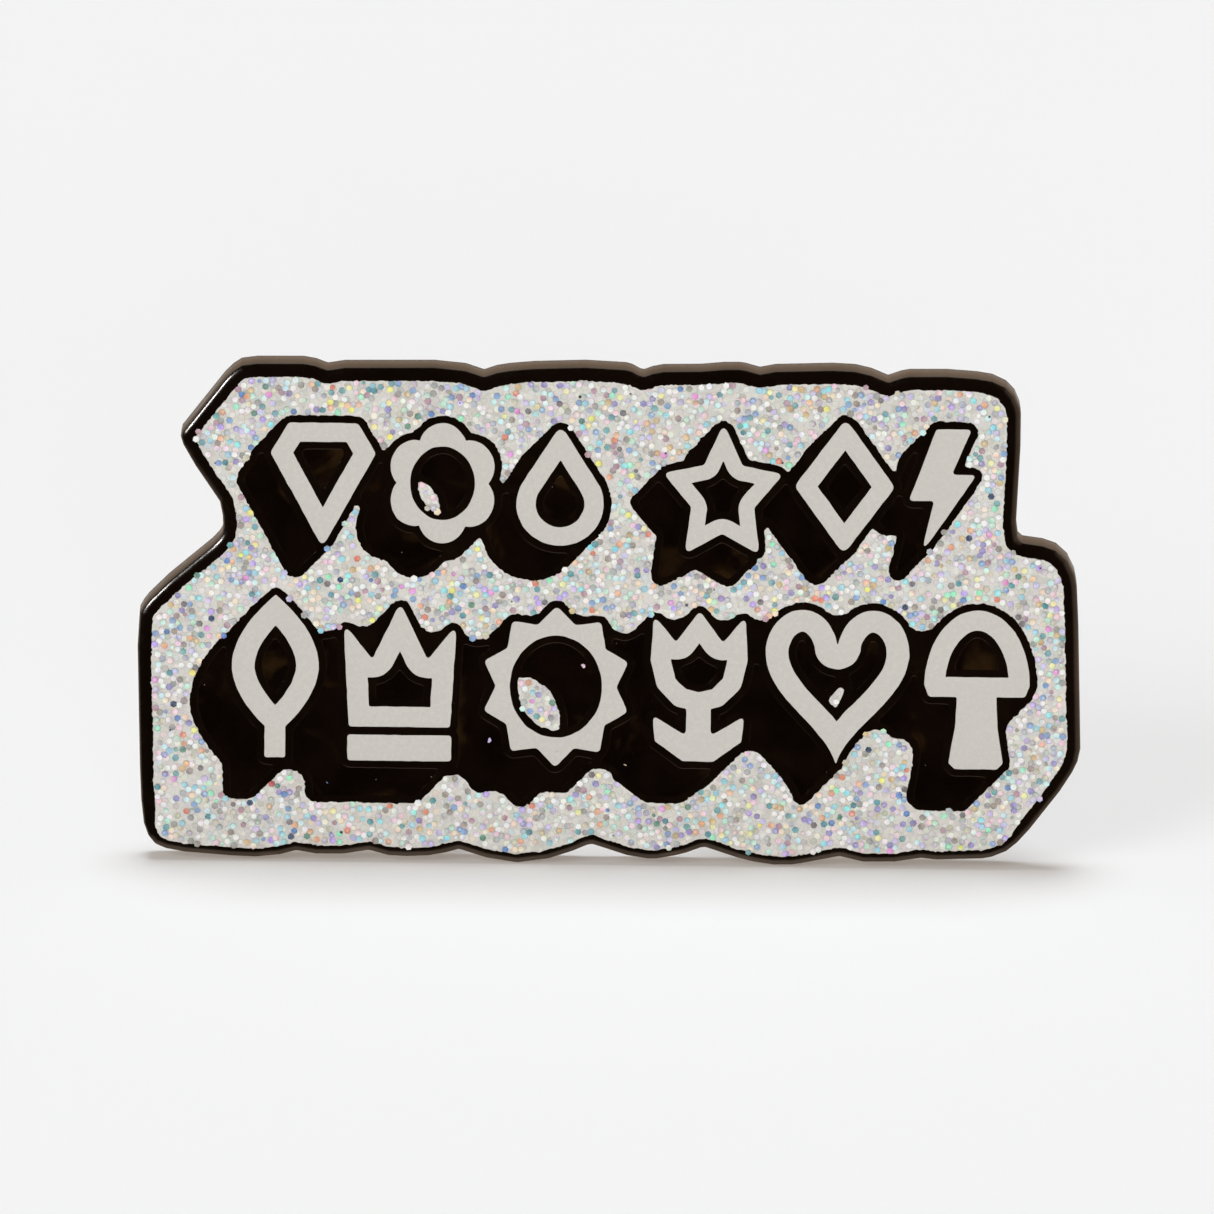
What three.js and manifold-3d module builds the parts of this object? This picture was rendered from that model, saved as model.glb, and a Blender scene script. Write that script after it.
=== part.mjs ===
// Die-struck enamel pin, 38 mm wide, with a wavy outline, a glitter-enamel
// field, twelve pictogram cells in warm white with black drop shadows, two
// soldered posts and two butterfly clutches.
//
// Frame: millimetres, +Z up, +X to the right seen from the front, the face
// looks along -Y. The origin is the centre of the flat back face of the plate,
// so the plate fills y from -PLATE_T to 0 and the posts point along +Y.
import * as THREE from 'three';
import { mergeVertices } from 'three/addons/utils/BufferGeometryUtils.js';
import Module from 'manifold-3d';

const wasm = await Module();
wasm.setup();

// ---------------------------------------------------------------- dimensions
const PLATE_T = 1.30;        // plate thickness
const EDGE_R = 0.26;         // rounding of the plate's front and back edges
const RIM_W = 0.44;          // raised rim around the face
const DAM_W = 0.31;          // raised metal line around every cell
const RECESS = 0.45;         // depth of the struck cells under the rim
const ENAMEL_DROP = 0.085;   // enamel surface under the rim
const GLITTER_DROP = 0.105;
const FILL_GAP = 0.02;       // side gap between a fill and its cell
const FILL_LIFT = 0.006;     // gap under a fill
const CLOSE_1 = 0.34, CLOSE_2 = 0.95;  // how far bays between shadows are closed
const SHADOW_1 = [-1.08, -1.16];   // drop shadow of the upper row
const SHADOW_2 = [-1.38, -1.48];   // drop shadow of the lower row

const POST_X = 10.0;         // posts at x = +-POST_X, z = 0
const POST_R = 0.60;
const POST_L = 8.0;
const POST_HEAD_R = 1.5;
const POST_HEAD_T = 0.4;
const CLUTCH_Y = 0.95;       // front face of the clutch caps, cloth goes under it
const SHEET = 0.30;          // clutch sheet thickness
const CAP_R = 5.7;

// plate outline, seen from the front, counter-clockwise [x, z]
const OUTLINE = [[-19.08,-1.48],[-18.97,-6.6],[-18.91,-8.03],[-18.8,-9.02],[-18.62,-9.54],[-18.34,-9.89],[-17.89,-10.09],[-17.16,-10.22],[-15.26,-10.36],[-14.25,-10.4],[-13.28,-10.29],[-12.63,-10.1],[-11.81,-10.24],[-10.72,-10.23],[-9.67,-10.05],[-8.88,-10.27],[-8.17,-10.3],[-7.28,-10.26],[-6.55,-10.12],[-6.02,-9.96],[-4.95,-10.31],[-3.67,-10.51],[-2.38,-10.32],[-1.4,-9.98],[-0.84,-9.72],[-0.63,-9.68],[0.77,-10.14],[1.64,-10.28],[2.0,-10.27],[2.73,-10.13],[3.18,-10.01],[3.77,-9.77],[3.94,-9.75],[5.19,-10.17],[5.91,-10.35],[6.71,-10.47],[7.44,-10.46],[7.84,-10.4],[9.39,-10.07],[10.36,-10.3],[11.65,-10.28],[12.71,-10.1],[13.32,-10.17],[15.17,-10.1],[15.55,-10.03],[16.16,-9.77],[16.59,-9.4],[17.11,-8.79],[18.29,-7.17],[18.76,-6.39],[18.96,-5.94],[19.07,-5.38],[18.89,-0.21],[18.79,1.5],[18.69,1.99],[18.39,2.61],[17.94,3.03],[17.4,3.22],[16.57,3.33],[16.38,3.5],[16.29,4.2],[16.41,7.38],[16.4,8.75],[16.35,9.0],[16.14,9.49],[15.79,9.85],[15.24,10.11],[14.61,10.21],[13.4,10.29],[11.9,10.27],[11.56,10.2],[11.05,10.01],[10.37,10.3],[9.71,10.45],[8.82,10.49],[6.51,10.41],[5.9,10.28],[5.3,10.45],[5.05,10.48],[4.44,10.47],[3.55,10.38],[2.01,10.35],[1.57,10.26],[1.24,10.13],[1.1,10.15],[0.76,10.34],[0.5,10.41],[-1.11,10.49],[-3.22,10.41],[-4.23,10.31],[-4.71,10.22],[-5.2,10.04],[-5.94,10.29],[-7.19,10.41],[-10.8,10.36],[-11.49,10.24],[-11.95,10.42],[-12.47,10.51],[-14.33,10.49],[-14.95,10.4],[-15.29,10.17],[-15.62,9.83],[-17.32,7.58],[-17.38,7.35],[-17.27,6.99],[-16.75,6.07],[-15.79,4.64],[-15.67,4.04],[-15.65,3.6],[-15.69,3.34],[-15.82,3.12],[-16.1,2.81],[-17.85,1.29],[-18.65,0.47],[-18.84,0.21],[-19.0,-0.08]];

// ------------------------------------------------------------- distance grid
const GX0 = -20.4, GZ0 = -11.9, STEP = 0.05;
const NX = Math.round(40.8 / STEP) + 1, NZ = Math.round(23.8 / STEP) + 1;
const BAND = 1.7;

// signed distance (negative inside, even-odd) to closed loops, cut at +-band
function sdf(loops, band = BAND) {
  const f = new Float32Array(NX * NZ).fill(band);
  for (const L of loops) {
    for (let i = 0; i < L.length; i++) {
      const [ax, az] = L[i], [bx, bz] = L[(i + 1) % L.length];
      const dx = bx - ax, dz = bz - az, q = dx * dx + dz * dz || 1e-12;
      const i0 = Math.max(0, Math.ceil((Math.min(ax, bx) - band - GX0) / STEP));
      const i1 = Math.min(NX - 1, Math.floor((Math.max(ax, bx) + band - GX0) / STEP));
      const j0 = Math.max(0, Math.ceil((Math.min(az, bz) - band - GZ0) / STEP));
      const j1 = Math.min(NZ - 1, Math.floor((Math.max(az, bz) + band - GZ0) / STEP));
      for (let j = j0; j <= j1; j++) {
        const z = GZ0 + j * STEP;
        for (let k = i0; k <= i1; k++) {
          const x = GX0 + k * STEP;
          let t = ((x - ax) * dx + (z - az) * dz) / q;
          t = t < 0 ? 0 : t > 1 ? 1 : t;
          const d = Math.hypot(x - ax - t * dx, z - az - t * dz);
          if (d < f[j * NX + k]) f[j * NX + k] = d;
        }
      }
    }
  }
  for (let j = 0; j < NZ; j++) {
    const z = GZ0 + j * STEP + 1e-7;
    const cuts = [];
    for (const L of loops) {
      for (let i = 0; i < L.length; i++) {
        const [ax, az] = L[i], [bx, bz] = L[(i + 1) % L.length];
        if ((az > z) !== (bz > z)) cuts.push(ax + (z - az) / (bz - az) * (bx - ax));
      }
    }
    cuts.sort((a, b) => a - b);
    for (let c = 0; c + 1 < cuts.length; c += 2) {
      const k0 = Math.max(0, Math.ceil((cuts[c] - GX0) / STEP));
      const k1 = Math.min(NX - 1, Math.floor((cuts[c + 1] - GX0) / STEP));
      for (let k = k0; k <= k1; k++) f[j * NX + k] = -f[j * NX + k];
    }
  }
  return f;
}
const combine = (fn, ...fs) => {
  const o = new Float32Array(NX * NZ);
  for (let i = 0; i < o.length; i++) o[i] = fn(...fs.map(f => f[i]));
  return o;
};
const sample = (f, x, z) => {
  const u = (x - GX0) / STEP, v = (z - GZ0) / STEP;
  const i = Math.floor(u), j = Math.floor(v);
  if (i < 0 || j < 0 || i >= NX - 1 || j >= NZ - 1) return BAND;
  const a = u - i, b = v - j, n = j * NX + i;
  return (f[n] * (1 - a) + f[n + 1] * a) * (1 - b) + (f[n + NX] * (1 - a) + f[n + NX + 1] * a) * b;
};
// the field swept along a straight vector
function sweep(f, [dx, dz], n = 30) {
  const o = new Float32Array(f);
  let i0 = NX, i1 = 0, j0 = NZ, j1 = 0;
  for (let j = 0; j < NZ; j++) for (let i = 0; i < NX; i++) if (f[j * NX + i] < BAND - 1e-6) {
    if (i < i0) i0 = i; if (i > i1) i1 = i; if (j < j0) j0 = j; if (j > j1) j1 = j;
  }
  i0 = Math.max(0, i0 - Math.ceil(-dx / STEP)); j0 = Math.max(0, j0 - Math.ceil(-dz / STEP));
  for (let j = j0; j <= j1; j++) for (let i = i0; i <= i1; i++) {
    const x = GX0 + i * STEP, z = GZ0 + j * STEP;
    let m = o[j * NX + i];
    for (let s = 1; s <= n; s++) {
      const v = sample(f, x - dx * s / n, z - dz * s / n);
      if (v < m) m = v;
    }
    o[j * NX + i] = m;
  }
  return o;
}

// ------------------------------------------------------------ closed contours
const MS = { 1: [[3, 0]], 2: [[0, 1]], 3: [[3, 1]], 4: [[1, 2]], 6: [[0, 2]], 7: [[3, 2]], 8: [[2, 3]], 9: [[2, 0]],
  11: [[2, 1]], 12: [[1, 3]], 13: [[1, 0]], 14: [[0, 3]], 5: [[3, 0], [1, 2]], 10: [[0, 1], [2, 3]] };
function contours(f, level = 0) {
  const next = new Map(), pos = new Map();
  const edge = (i, j, e) => e === 0 ? 2 * (j * NX + i) : e === 1 ? 2 * (j * NX + i + 1) + 1
    : e === 2 ? 2 * ((j + 1) * NX + i) : 2 * (j * NX + i) + 1;
  for (let j = 0; j < NZ - 1; j++) for (let i = 0; i < NX - 1; i++) {
    const n = j * NX + i;
    const a = f[n] - level, b = f[n + 1] - level, c = f[n + NX + 1] - level, d = f[n + NX] - level;
    const code = (a < 0 ? 1 : 0) + (b < 0 ? 2 : 0) + (c < 0 ? 4 : 0) + (d < 0 ? 8 : 0);
    if (!MS[code]) continue;
    const at = e => {
      const clampT = t => Math.min(0.999, Math.max(0.001, t));
      if (e === 0) return [i + clampT(a / (a - b)), j];
      if (e === 1) return [i + 1, j + clampT(b / (b - c))];
      if (e === 2) return [i + clampT(d / (d - c)), j + 1];
      return [i, j + clampT(a / (a - d))];
    };
    for (const [e0, e1] of MS[code]) {
      const k0 = edge(i, j, e0), k1 = edge(i, j, e1);
      next.set(k0, k1);
      if (!pos.has(k0)) pos.set(k0, at(e0));
      if (!pos.has(k1)) pos.set(k1, at(e1));
    }
  }
  const loops = [], seen = new Set();
  for (const k of next.keys()) {
    if (seen.has(k)) continue;
    const L = [];
    let c = k;
    while (!seen.has(c)) {
      seen.add(c);
      const p = pos.get(c);
      L.push([GX0 + p[0] * STEP, GZ0 + p[1] * STEP]);
      c = next.get(c);
      if (c === undefined) throw new Error('open contour');
    }
    loops.push(L);
  }
  return loops;
}
const area = L => L.reduce((s, [x, z], i) => { const [u, v] = L[(i + 1) % L.length]; return s + (x * v - u * z) / 2; }, 0);
const inside = ([x, z], L) => {
  let c = false;
  for (let i = 0, j = L.length - 1; i < L.length; j = i++) {
    const [ax, az] = L[i], [bx, bz] = L[j];
    if ((az > z) !== (bz > z) && x < (bx - ax) * (z - az) / (bz - az) + ax) c = !c;
  }
  return c;
};
function simplify(L, tol) {
  const keep = new Set();
  const rec = (a, b) => {
    if (b <= a + 1) return;
    const A = P[a], B = P[b], vx = B[0] - A[0], vz = B[1] - A[1], len = Math.hypot(vx, vz);
    let m = -1, mk = -1;
    for (let k = a + 1; k < b; k++) {
      const d = len < 1e-9 ? Math.hypot(P[k][0] - A[0], P[k][1] - A[1])
        : Math.abs(vx * (P[k][1] - A[1]) - vz * (P[k][0] - A[0])) / len;
      if (d > m) { m = d; mk = k; }
    }
    if (m > tol) { rec(a, mk); keep.add(mk); rec(mk, b); }
  };
  let s = 0;
  L.forEach((p, i) => { if (p[0] < L[s][0]) s = i; });
  const P = [...L.slice(s), ...L.slice(0, s)];
  P.push(P[0]);
  let far = 0;
  P.forEach((p, i) => { if (Math.hypot(p[0] - P[0][0], p[1] - P[0][1]) > Math.hypot(P[far][0] - P[0][0], P[far][1] - P[0][1])) far = i; });
  keep.add(0); keep.add(far);
  rec(0, far); rec(far, P.length - 1);
  return [...keep].sort((a, b) => a - b).map(i => P[i]);
}
// regions of a field: [{outer, holes}], largest first, slivers dropped
function regions(f, level, minArea, tol = 0.042) {
  const Ls = contours(f, level).map(L => simplify(L, tol)).filter(L => L.length > 2 && Math.abs(area(L)) > 0.02);
  const sign = Math.sign(area(Ls.reduce((a, b) => Math.abs(area(b)) > Math.abs(area(a)) ? b : a)));
  const outers = Ls.filter(L => Math.sign(area(L)) === sign && Math.abs(area(L)) >= minArea)
    .map(L => ({ outer: sign > 0 ? L : [...L].reverse(), holes: [] }));
  outers.sort((a, b) => area(b.outer) - area(a.outer));
  for (const H of Ls.filter(L => Math.sign(area(L)) !== sign)) {
    const home = outers.filter(o => inside(H[0], o.outer)).pop();
    if (home) home.holes.push(sign > 0 ? H : [...H].reverse());
  }
  return outers;
}
// exact parallel inset of a simplified region (outer counter-clockwise, holes clockwise)
function inset(L, d) {
  const n = L.length;
  return L.map((p, i) => {
    const a = L[(i + n - 1) % n], b = L[(i + 1) % n];
    const u = [p[0] - a[0], p[1] - a[1]], v = [b[0] - p[0], b[1] - p[1]];
    const lu = Math.hypot(...u), lv = Math.hypot(...v);
    const nu = [-u[1] / lu, u[0] / lu], nv = [-v[1] / lv, v[0] / lv];
    const m = [nu[0] + nv[0], nu[1] + nv[1]], mm = m[0] * m[0] + m[1] * m[1];
    const k = Math.min(2 * d / mm, 3 * d / Math.sqrt(mm));
    return [p[0] + m[0] * k, p[1] + m[1] * k];
  });
}
const insetRegion = (r, d) => ({ outer: inset(r.outer, d), holes: r.holes.map(h => inset(h, d)) });

// ------------------------------------------------------------------ pictograms
// a closed polygon with its corners rounded by r (one number or one per corner)
function rounded(pts, r) {
  const n = pts.length, out = [];
  pts.forEach((p, i) => {
    const a = pts[(i + n - 1) % n], b = pts[(i + 1) % n];
    const u = [a[0] - p[0], a[1] - p[1]], v = [b[0] - p[0], b[1] - p[1]];
    const lu = Math.hypot(...u), lv = Math.hypot(...v);
    const R = Array.isArray(r) ? r[i] : r;
    const ang = Math.acos(Math.max(-1, Math.min(1, (u[0] * v[0] + u[1] * v[1]) / (lu * lv))));
    if (R <= 0 || ang > 3.05) { out.push(p); return; }
    const t = Math.min(R / Math.tan(ang / 2), 0.45 * lu, 0.45 * lv);
    const s = [p[0] + u[0] / lu * t, p[1] + u[1] / lu * t], e = [p[0] + v[0] / lv * t, p[1] + v[1] / lv * t];
    const m = Math.max(2, Math.ceil((Math.PI - ang) / 0.35));
    for (let k = 0; k <= m; k++) {
      const q = k / m;
      out.push([(1 - q) ** 2 * s[0] + 2 * q * (1 - q) * p[0] + q * q * e[0], (1 - q) ** 2 * s[1] + 2 * q * (1 - q) * p[1] + q * q * e[1]]);
    }
  });
  return out;
}
const polar = (fn, n = 96) => Array.from({ length: n }, (_, i) => { const t = i / n * 2 * Math.PI; return fn(t); });
const ellipse = (rx, rz, cx = 0, cz = 0) => polar(t => [cx + rx * Math.cos(t), cz + rz * Math.sin(t)], 48);
const star = (n, Rx, Rz, k, cz = 0) => Array.from({ length: 2 * n }, (_, i) => {
  const t = Math.PI / 2 + i * Math.PI / n, q = i % 2 ? k : 1;
  return [Rx * q * Math.cos(t), cz + Rz * q * Math.sin(t)];
});
const heart = (w, h) => polar(t => {
  const x = 16 * Math.sin(t) ** 3, z = 13 * Math.cos(t) - 5 * Math.cos(2 * t) - 2 * Math.cos(3 * t) - Math.cos(4 * t);
  return [x / 32 * w, (z + 2.6) / 28.9 * h];
}, 80);
const drop = (R, cz, top) => {
  const c = [0, cz], d = top - cz, a = Math.acos(R / d), out = [[0, top]];
  for (let i = 0; i <= 30; i++) {
    const t = Math.PI / 2 + a + (2 * Math.PI - 2 * a) * i / 30;
    out.push([R * Math.cos(t), c[1] + R * Math.sin(t)]);
  }
  return rounded(out, out.map((_, i) => i ? 0 : 0.3));
};
// each pictogram: centre, row, and a list of cells; a cell is loops (even-odd)
// with an optional ring stroke measured inward from the outer loop
const PICTOGRAMS = [
  { name: 'gem', row: 1, at: [-11.64, 5.53], cells: [{ loops: [rounded([[-1.4, 2.52], [-2.12, 1.25], [0, -2.72], [2.12, 1.25], [1.4, 2.52]], 0.22)], ring: 0.80 }] },
  { name: 'flower', row: 1, at: [-6.83, 5.57], cells: [{ loops: [polar(t => {
    const r = 1.90 + 0.44 * Math.abs(Math.cos(3 * (t - Math.PI / 2))) ** 0.8;
    return [r * Math.cos(t) * 0.965, r * Math.sin(t) * 1.08]; }, 144), ellipse(1.30, 1.55)] }] },
  { name: 'drop', row: 1, at: [-2.09, 5.48], cells: [{ loops: [drop(1.76, -0.72, 2.6)], ring: 0.78 }] },
  { name: 'star', row: 1, at: [4.46, 5.44], cells: [{ loops: [rounded(star(5, 2.56, 3.05, 0.52, -0.26), 0.2)], ring: 0.64 }] },
  { name: 'kite', row: 1, at: [9.36, 5.63], cells: [{ loops: [rounded([[0, 2.85], [-2.02, 0], [0, -2.85], [2.02, 0]], 0.3)], ring: 0.76 }] },
  { name: 'bolt', row: 1, at: [13.31, 5.57], cells: [{ loops: [rounded([[-0.3, 2.52], [-1.36, -0.5], [-0.34, -0.5], [-0.85, -2.75], [1.36, 0.62], [0.36, 0.62], [1.12, 2.52]], 0.14)] }] },
  { name: 'leaf', row: 2, at: [-13.51, -2.65], cells: [{ loops: [(() => {
    const out = [], H = 2.98, W = 1.76, c = 0.46;
    for (let i = 0; i <= 24; i++) { const s = -1 + 2 * i / 24; out.push([-W * (1 - Math.abs(s) ** 1.9), c + s * H]); }
    for (let i = 1; i < 24; i++) { const s = 1 - 2 * i / 24; out.push([W * (1 - Math.abs(s) ** 1.9), c + s * H]); }
    return [...out].reverse(); })()], ring: 0.92, join: [rounded([[-0.42, -3.44], [0.42, -3.44], [0.42, -1.6], [-0.42, -1.6]], 0.12)] }] },
  { name: 'crown', row: 2, at: [-8.48, -2.84], cells: [
    { loops: [rounded([[-2.05, -1.9], [2.05, -1.9], [2.29, 2.5], [1.12, 0.95], [0, 3.36], [-1.12, 0.95], [-2.29, 2.5]], [0.12, 0.12, 0.2, 0.12, 0.2, 0.12, 0.2])], ring: 0.86 },
    { loops: [rounded([[-2.1, -3.34], [2.1, -3.34], [2.1, -2.24], [-2.1, -2.24]], 0.14)] }] },
  { name: 'sun', row: 2, at: [-2.17, -2.95], cells: [{ loops: [rounded(star(10, 3.06, 3.42, 0.80), 0.2), ellipse(1.86, 2.16)] }] },
  { name: 'tulip', row: 2, at: [3.60, -2.86], cells: [{ loops: [rounded([[-1.86, 3.0], [-1.96, 1.1], [-1.7, -0.05], [-0.95, -0.85], [0, -1.08], [0.95, -0.85], [1.7, -0.05], [1.96, 1.1], [1.86, 3.0], [0.95, 1.85], [0, 3.19], [-0.95, 1.85]], [0.18, 0.5, 0.6, 0.6, 0.6, 0.6, 0.6, 0.5, 0.18, 0.12, 0.18, 0.12])], ring: 0.80,
    join: [rounded([[-0.5, -0.7], [-0.5, -2.1], [-1.85, -1.25], [-1.75, -2.35], [-0.62, -3.19], [0.62, -3.19], [1.75, -2.35], [1.85, -1.25], [0.5, -2.1], [0.5, -0.7]], 0.14)] }] },
  { name: 'heart', row: 2, at: [9.18, -2.89], cells: [{ loops: [heart(5.8, 6.6)], ring: 0.92 }] },
  { name: 'mushroom', row: 2, at: [14.83, -2.88], cells: [{ loops: [rounded([...Array.from({ length: 15 }, (_, i) => { const t = Math.PI * i / 14; return [2.13 * Math.cos(t), 0.2 + 3.16 * Math.sin(t)]; }), [-1.95, -0.3], [1.95, -0.3]], 0.2)], ring: 0.84,
    join: [rounded([[-0.78, 0.2], [-0.86, -1.6], [-1.1, -3.1], [-0.85, -3.36], [0.85, -3.36], [1.1, -3.1], [0.86, -1.6], [0.78, 0.2]], 0.15)] }] },
];
const placed = (L, [cx, cz]) => L.map(([x, z]) => [x + cx, z + cz]);

const glyphFields = [];
let G = new Float32Array(NX * NZ).fill(BAND), U = new Float32Array(NX * NZ).fill(BAND);
for (const p of PICTOGRAMS) {
  let g = null;
  for (const c of p.cells) {
    let f = sdf(c.loops.map(L => placed(L, p.at)));
    if (c.ring) f = combine(a => Math.max(a, -(a + c.ring)), f);
    if (c.join) f = combine(Math.min, f, sdf(c.join.map(L => placed(L, p.at))));
    g = g ? combine(Math.min, g, f) : f;
  }
  glyphFields.push(g);
  G = combine(Math.min, G, g);
  U = combine(Math.min, U, sweep(g, p.row === 1 ? SHADOW_1 : SHADOW_2));
}
// the bays between neighbouring shadows of a row are closed; the windows left
// inside a pictogram stay open where a glitter island fits
{
  const all = regions(U, 0, 0.2, 0.02);
  const windows = all.flatMap(r => r.holes);
  const shut = sdf(all.map(r => r.outer));
  const close = (f, r) => { const g = sdf(contours(f, r)); return combine((u, v) => Math.min(u, v + r), f, g); };
  const upper = sdf(all.map(r => r.outer).filter(L => L.some(p => p[1] > 3)));
  const lower = sdf(all.map(r => r.outer).filter(L => L.every(p => p[1] <= 3)));
  U = combine(Math.min, close(upper, CLOSE_1), close(lower, CLOSE_2));
  U = combine(Math.min, U, shut);
  const w = sdf(windows);
  const kept = regions(combine(a => a + DAM_W, w), 0, 0.22, 0.02);
  const keep = windows.filter(L => kept.some(k => inside(k.outer[0], L)));
  if (keep.length) U = combine((u, v) => Math.max(u, -v), U, sdf(keep));
}
const D = sdf([OUTLINE]);
const open = (f, r) => { const s = sdf(contours(f, -r)); return combine(a => a - r, s); };

const WHITE = glyphFields.map(g => regions(g, 0, 0.2));
const POOLS = regions(open(combine((u, g) => Math.max(u, DAM_W - g), U, G), 0.09), 0, 0.3);
const GLITTER = regions(open(combine((d, u) => Math.max(d + RIM_W, DAM_W - u), D, U), 0.1), 0, 0.20);

// ---------------------------------------------------------------- solid helpers
const loopPath = (L, C) => { const s = new C(); L.forEach(([x, z], i) => i ? s.lineTo(x, z) : s.moveTo(x, z)); s.closePath(); return s; };
function shapeOf(r) {
  const s = loopPath(r.outer, THREE.Shape);
  for (const h of r.holes) s.holes.push(loopPath(h, THREE.Path));
  return s;
}
// prism of a region between two heights measured forward from the back face
function prism(r, h0, h1, bevel = 0) {
  const g = new THREE.ExtrudeGeometry(shapeOf(r), bevel
    ? { depth: h1 - h0 - 2 * bevel, steps: 1, curveSegments: 1, bevelEnabled: true, bevelThickness: bevel, bevelSize: bevel, bevelOffset: -bevel, bevelSegments: 2 }
    : { depth: h1 - h0, steps: 1, curveSegments: 1, bevelEnabled: false });
  g.translate(0, 0, h0 + bevel);
  g.rotateX(Math.PI / 2);            // extrusion direction becomes -Y, shape y becomes +Z
  return g;
}
function weld(g) {
  const c = g.clone();
  for (const k of Object.keys(c.attributes)) if (k !== 'position') c.deleteAttribute(k);
  c.morphAttributes = {};
  return mergeVertices(c, 1e-4);
}
function toSolid(g) {
  const w = weld(g);
  return new wasm.Manifold(new wasm.Mesh({ numProp: 3, vertProperties: new Float32Array(w.attributes.position.array), triVerts: new Uint32Array(w.index.array) }));
}
function fromSolid(s) {
  const m = s.getMesh(), g = new THREE.BufferGeometry(), n = m.numProp;
  const v = new Float32Array(m.vertProperties.length / n * 3);
  for (let i = 0; i < v.length / 3; i++) for (let k = 0; k < 3; k++) v[3 * i + k] = m.vertProperties[n * i + k];
  g.setAttribute('position', new THREE.BufferAttribute(v, 3));
  g.setIndex(new THREE.BufferAttribute(new Uint32Array(m.triVerts), 1));
  return g;
}
const group = new THREE.Group();
group.name = 'enamel_pin';
function add(name, g, color, roughness, metalness, parent = group) {
  const flat = (g.index ? g.toNonIndexed() : g);
  flat.computeVertexNormals();
  const m = new THREE.Mesh(flat, new THREE.MeshStandardMaterial({ color, roughness, metalness }));
  m.name = name;
  parent.add(m);
  return m;
}
const BLACK_NICKEL = 0x2a2522, WHITE_ENAMEL = 0xcbc9c4, BLACK_ENAMEL = 0x0b0706, GLITTER_ENAMEL = 0xc8c8c4,
  NICKEL = 0xb9b6b0, SOLDER = 0xa9a8a5;

// ------------------------------------------------------------------ base plate
const cells = [...WHITE.flat(), ...POOLS, ...GLITTER];
let plate = toSolid(prism({ outer: OUTLINE, holes: [] }, 0, PLATE_T, EDGE_R));
for (const r of cells) plate = plate.subtract(toSolid(prism(r, PLATE_T - RECESS, PLATE_T + 0.2)));
// the back face is laid out again around a square between the posts, so that
// square is a flat of its own
function relayBack(g) {
  const w = weld(g), p = w.attributes.position, ix = w.index;
  const next = new Map(), keep = [];
  const onBack = i => Math.abs(p.getY(i)) < 1e-5;
  const half = new Map();
  for (let t = 0; t < ix.count; t += 3) {
    const v = [ix.getX(t), ix.getX(t + 1), ix.getX(t + 2)];
    if (v.every(onBack)) for (let k = 0; k < 3; k++) half.set(v[k] + '_' + v[(k + 1) % 3], [v[k], v[(k + 1) % 3]]);
    else keep.push(v);
  }
  for (const [, [a, b]] of half) if (!half.has(b + '_' + a)) next.set(a, b);
  const loop = [];
  let s = next.keys().next().value, c = s;
  do { loop.push(c); c = next.get(c); } while (c !== s && c !== undefined);
  const P = loop.map(i => new THREE.Vector2(p.getX(i), p.getZ(i)));
  const q = 3.6, sq = [[-q, -q], [q, -q], [q, q], [-q, q]].map(([x, z]) => new THREE.Vector2(x, z));
  const flip = THREE.ShapeUtils.isClockWise(P);
  if (flip) { P.reverse(); loop.reverse(); }
  const hole = [...sq].reverse();
  const pos = [];
  const put = (x, y, z) => pos.push(x, y, z);
  for (const v of keep) for (const i of v) put(p.getX(i), p.getY(i), p.getZ(i));
  const all = [...P.map((v, k) => [p.getX(loop[k]), p.getZ(loop[k])]), ...hole.map(v => [v.x, v.y])];
  const tri = (a, b, c) => {            // outward is +Y: clockwise in (x, z)
    const cr = (b[0] - a[0]) * (c[1] - a[1]) - (b[1] - a[1]) * (c[0] - a[0]);
    const o = cr > 0 ? [a, c, b] : [a, b, c];
    for (const v of o) put(v[0], 0, v[1]);
  };
  for (const f of THREE.ShapeUtils.triangulateShape(P, [hole])) tri(all[f[0]], all[f[1]], all[f[2]]);
  const S = sq.map(v => [v.x, v.y]);
  tri(S[0], S[1], S[2]); tri(S[0], S[2], S[3]);
  const o = new THREE.BufferGeometry();
  o.setAttribute('position', new THREE.Float32BufferAttribute(pos, 3));
  return o;
}
add('base_plate', relayBack(fromSolid(plate)), BLACK_NICKEL, 0.28, 1.0);

// ---------------------------------------------------------------- enamel fills
const floorH = PLATE_T - RECESS + FILL_LIFT;
WHITE.forEach((rs, i) => rs.forEach((r, k) => {
  const base = 'enamel_' + PICTOGRAMS[i].name;
  add(k ? base + '_band' : base, prism(insetRegion(r, FILL_GAP), floorH, PLATE_T - ENAMEL_DROP), WHITE_ENAMEL, 0.25, 0);
}));
POOLS.forEach((r, i) => add('shadow_enamel_' + String(i + 1).padStart(2, '0'), prism(insetRegion(r, FILL_GAP), floorH, PLATE_T - ENAMEL_DROP), BLACK_ENAMEL, 0.15, 0));
GLITTER.forEach((r, i) => add(i ? 'glitter_island_' + i : 'glitter_field', prism(insetRegion(r, FILL_GAP), floorH, PLATE_T - GLITTER_DROP), GLITTER_ENAMEL, 0.45, 0));

// ----------------------------------------------------------- posts and clutches
const lathe = (pts, seg) => { const g = new THREE.LatheGeometry(pts.map(([r, h]) => new THREE.Vector2(r, h)), seg); return weld(g); };
// extrusion of a (w, h) profile, centred, t wide; result axes: x = width, y = h, z = w
function bent(profile, width) {
  const g = new THREE.ExtrudeGeometry(loopPath(profile, THREE.Shape), { depth: width, steps: 1, curveSegments: 1, bevelEnabled: false });
  g.translate(0, 0, -width / 2);
  // shape x = w, shape y = h, shape z = width -> (width, h, w), a turn that keeps handedness
  g.applyMatrix4(new THREE.Matrix4().set(0, 0, -1, 0, 0, 1, 0, 0, 1, 0, 0, 0, 0, 0, 0, 1));
  return g;
}
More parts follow.
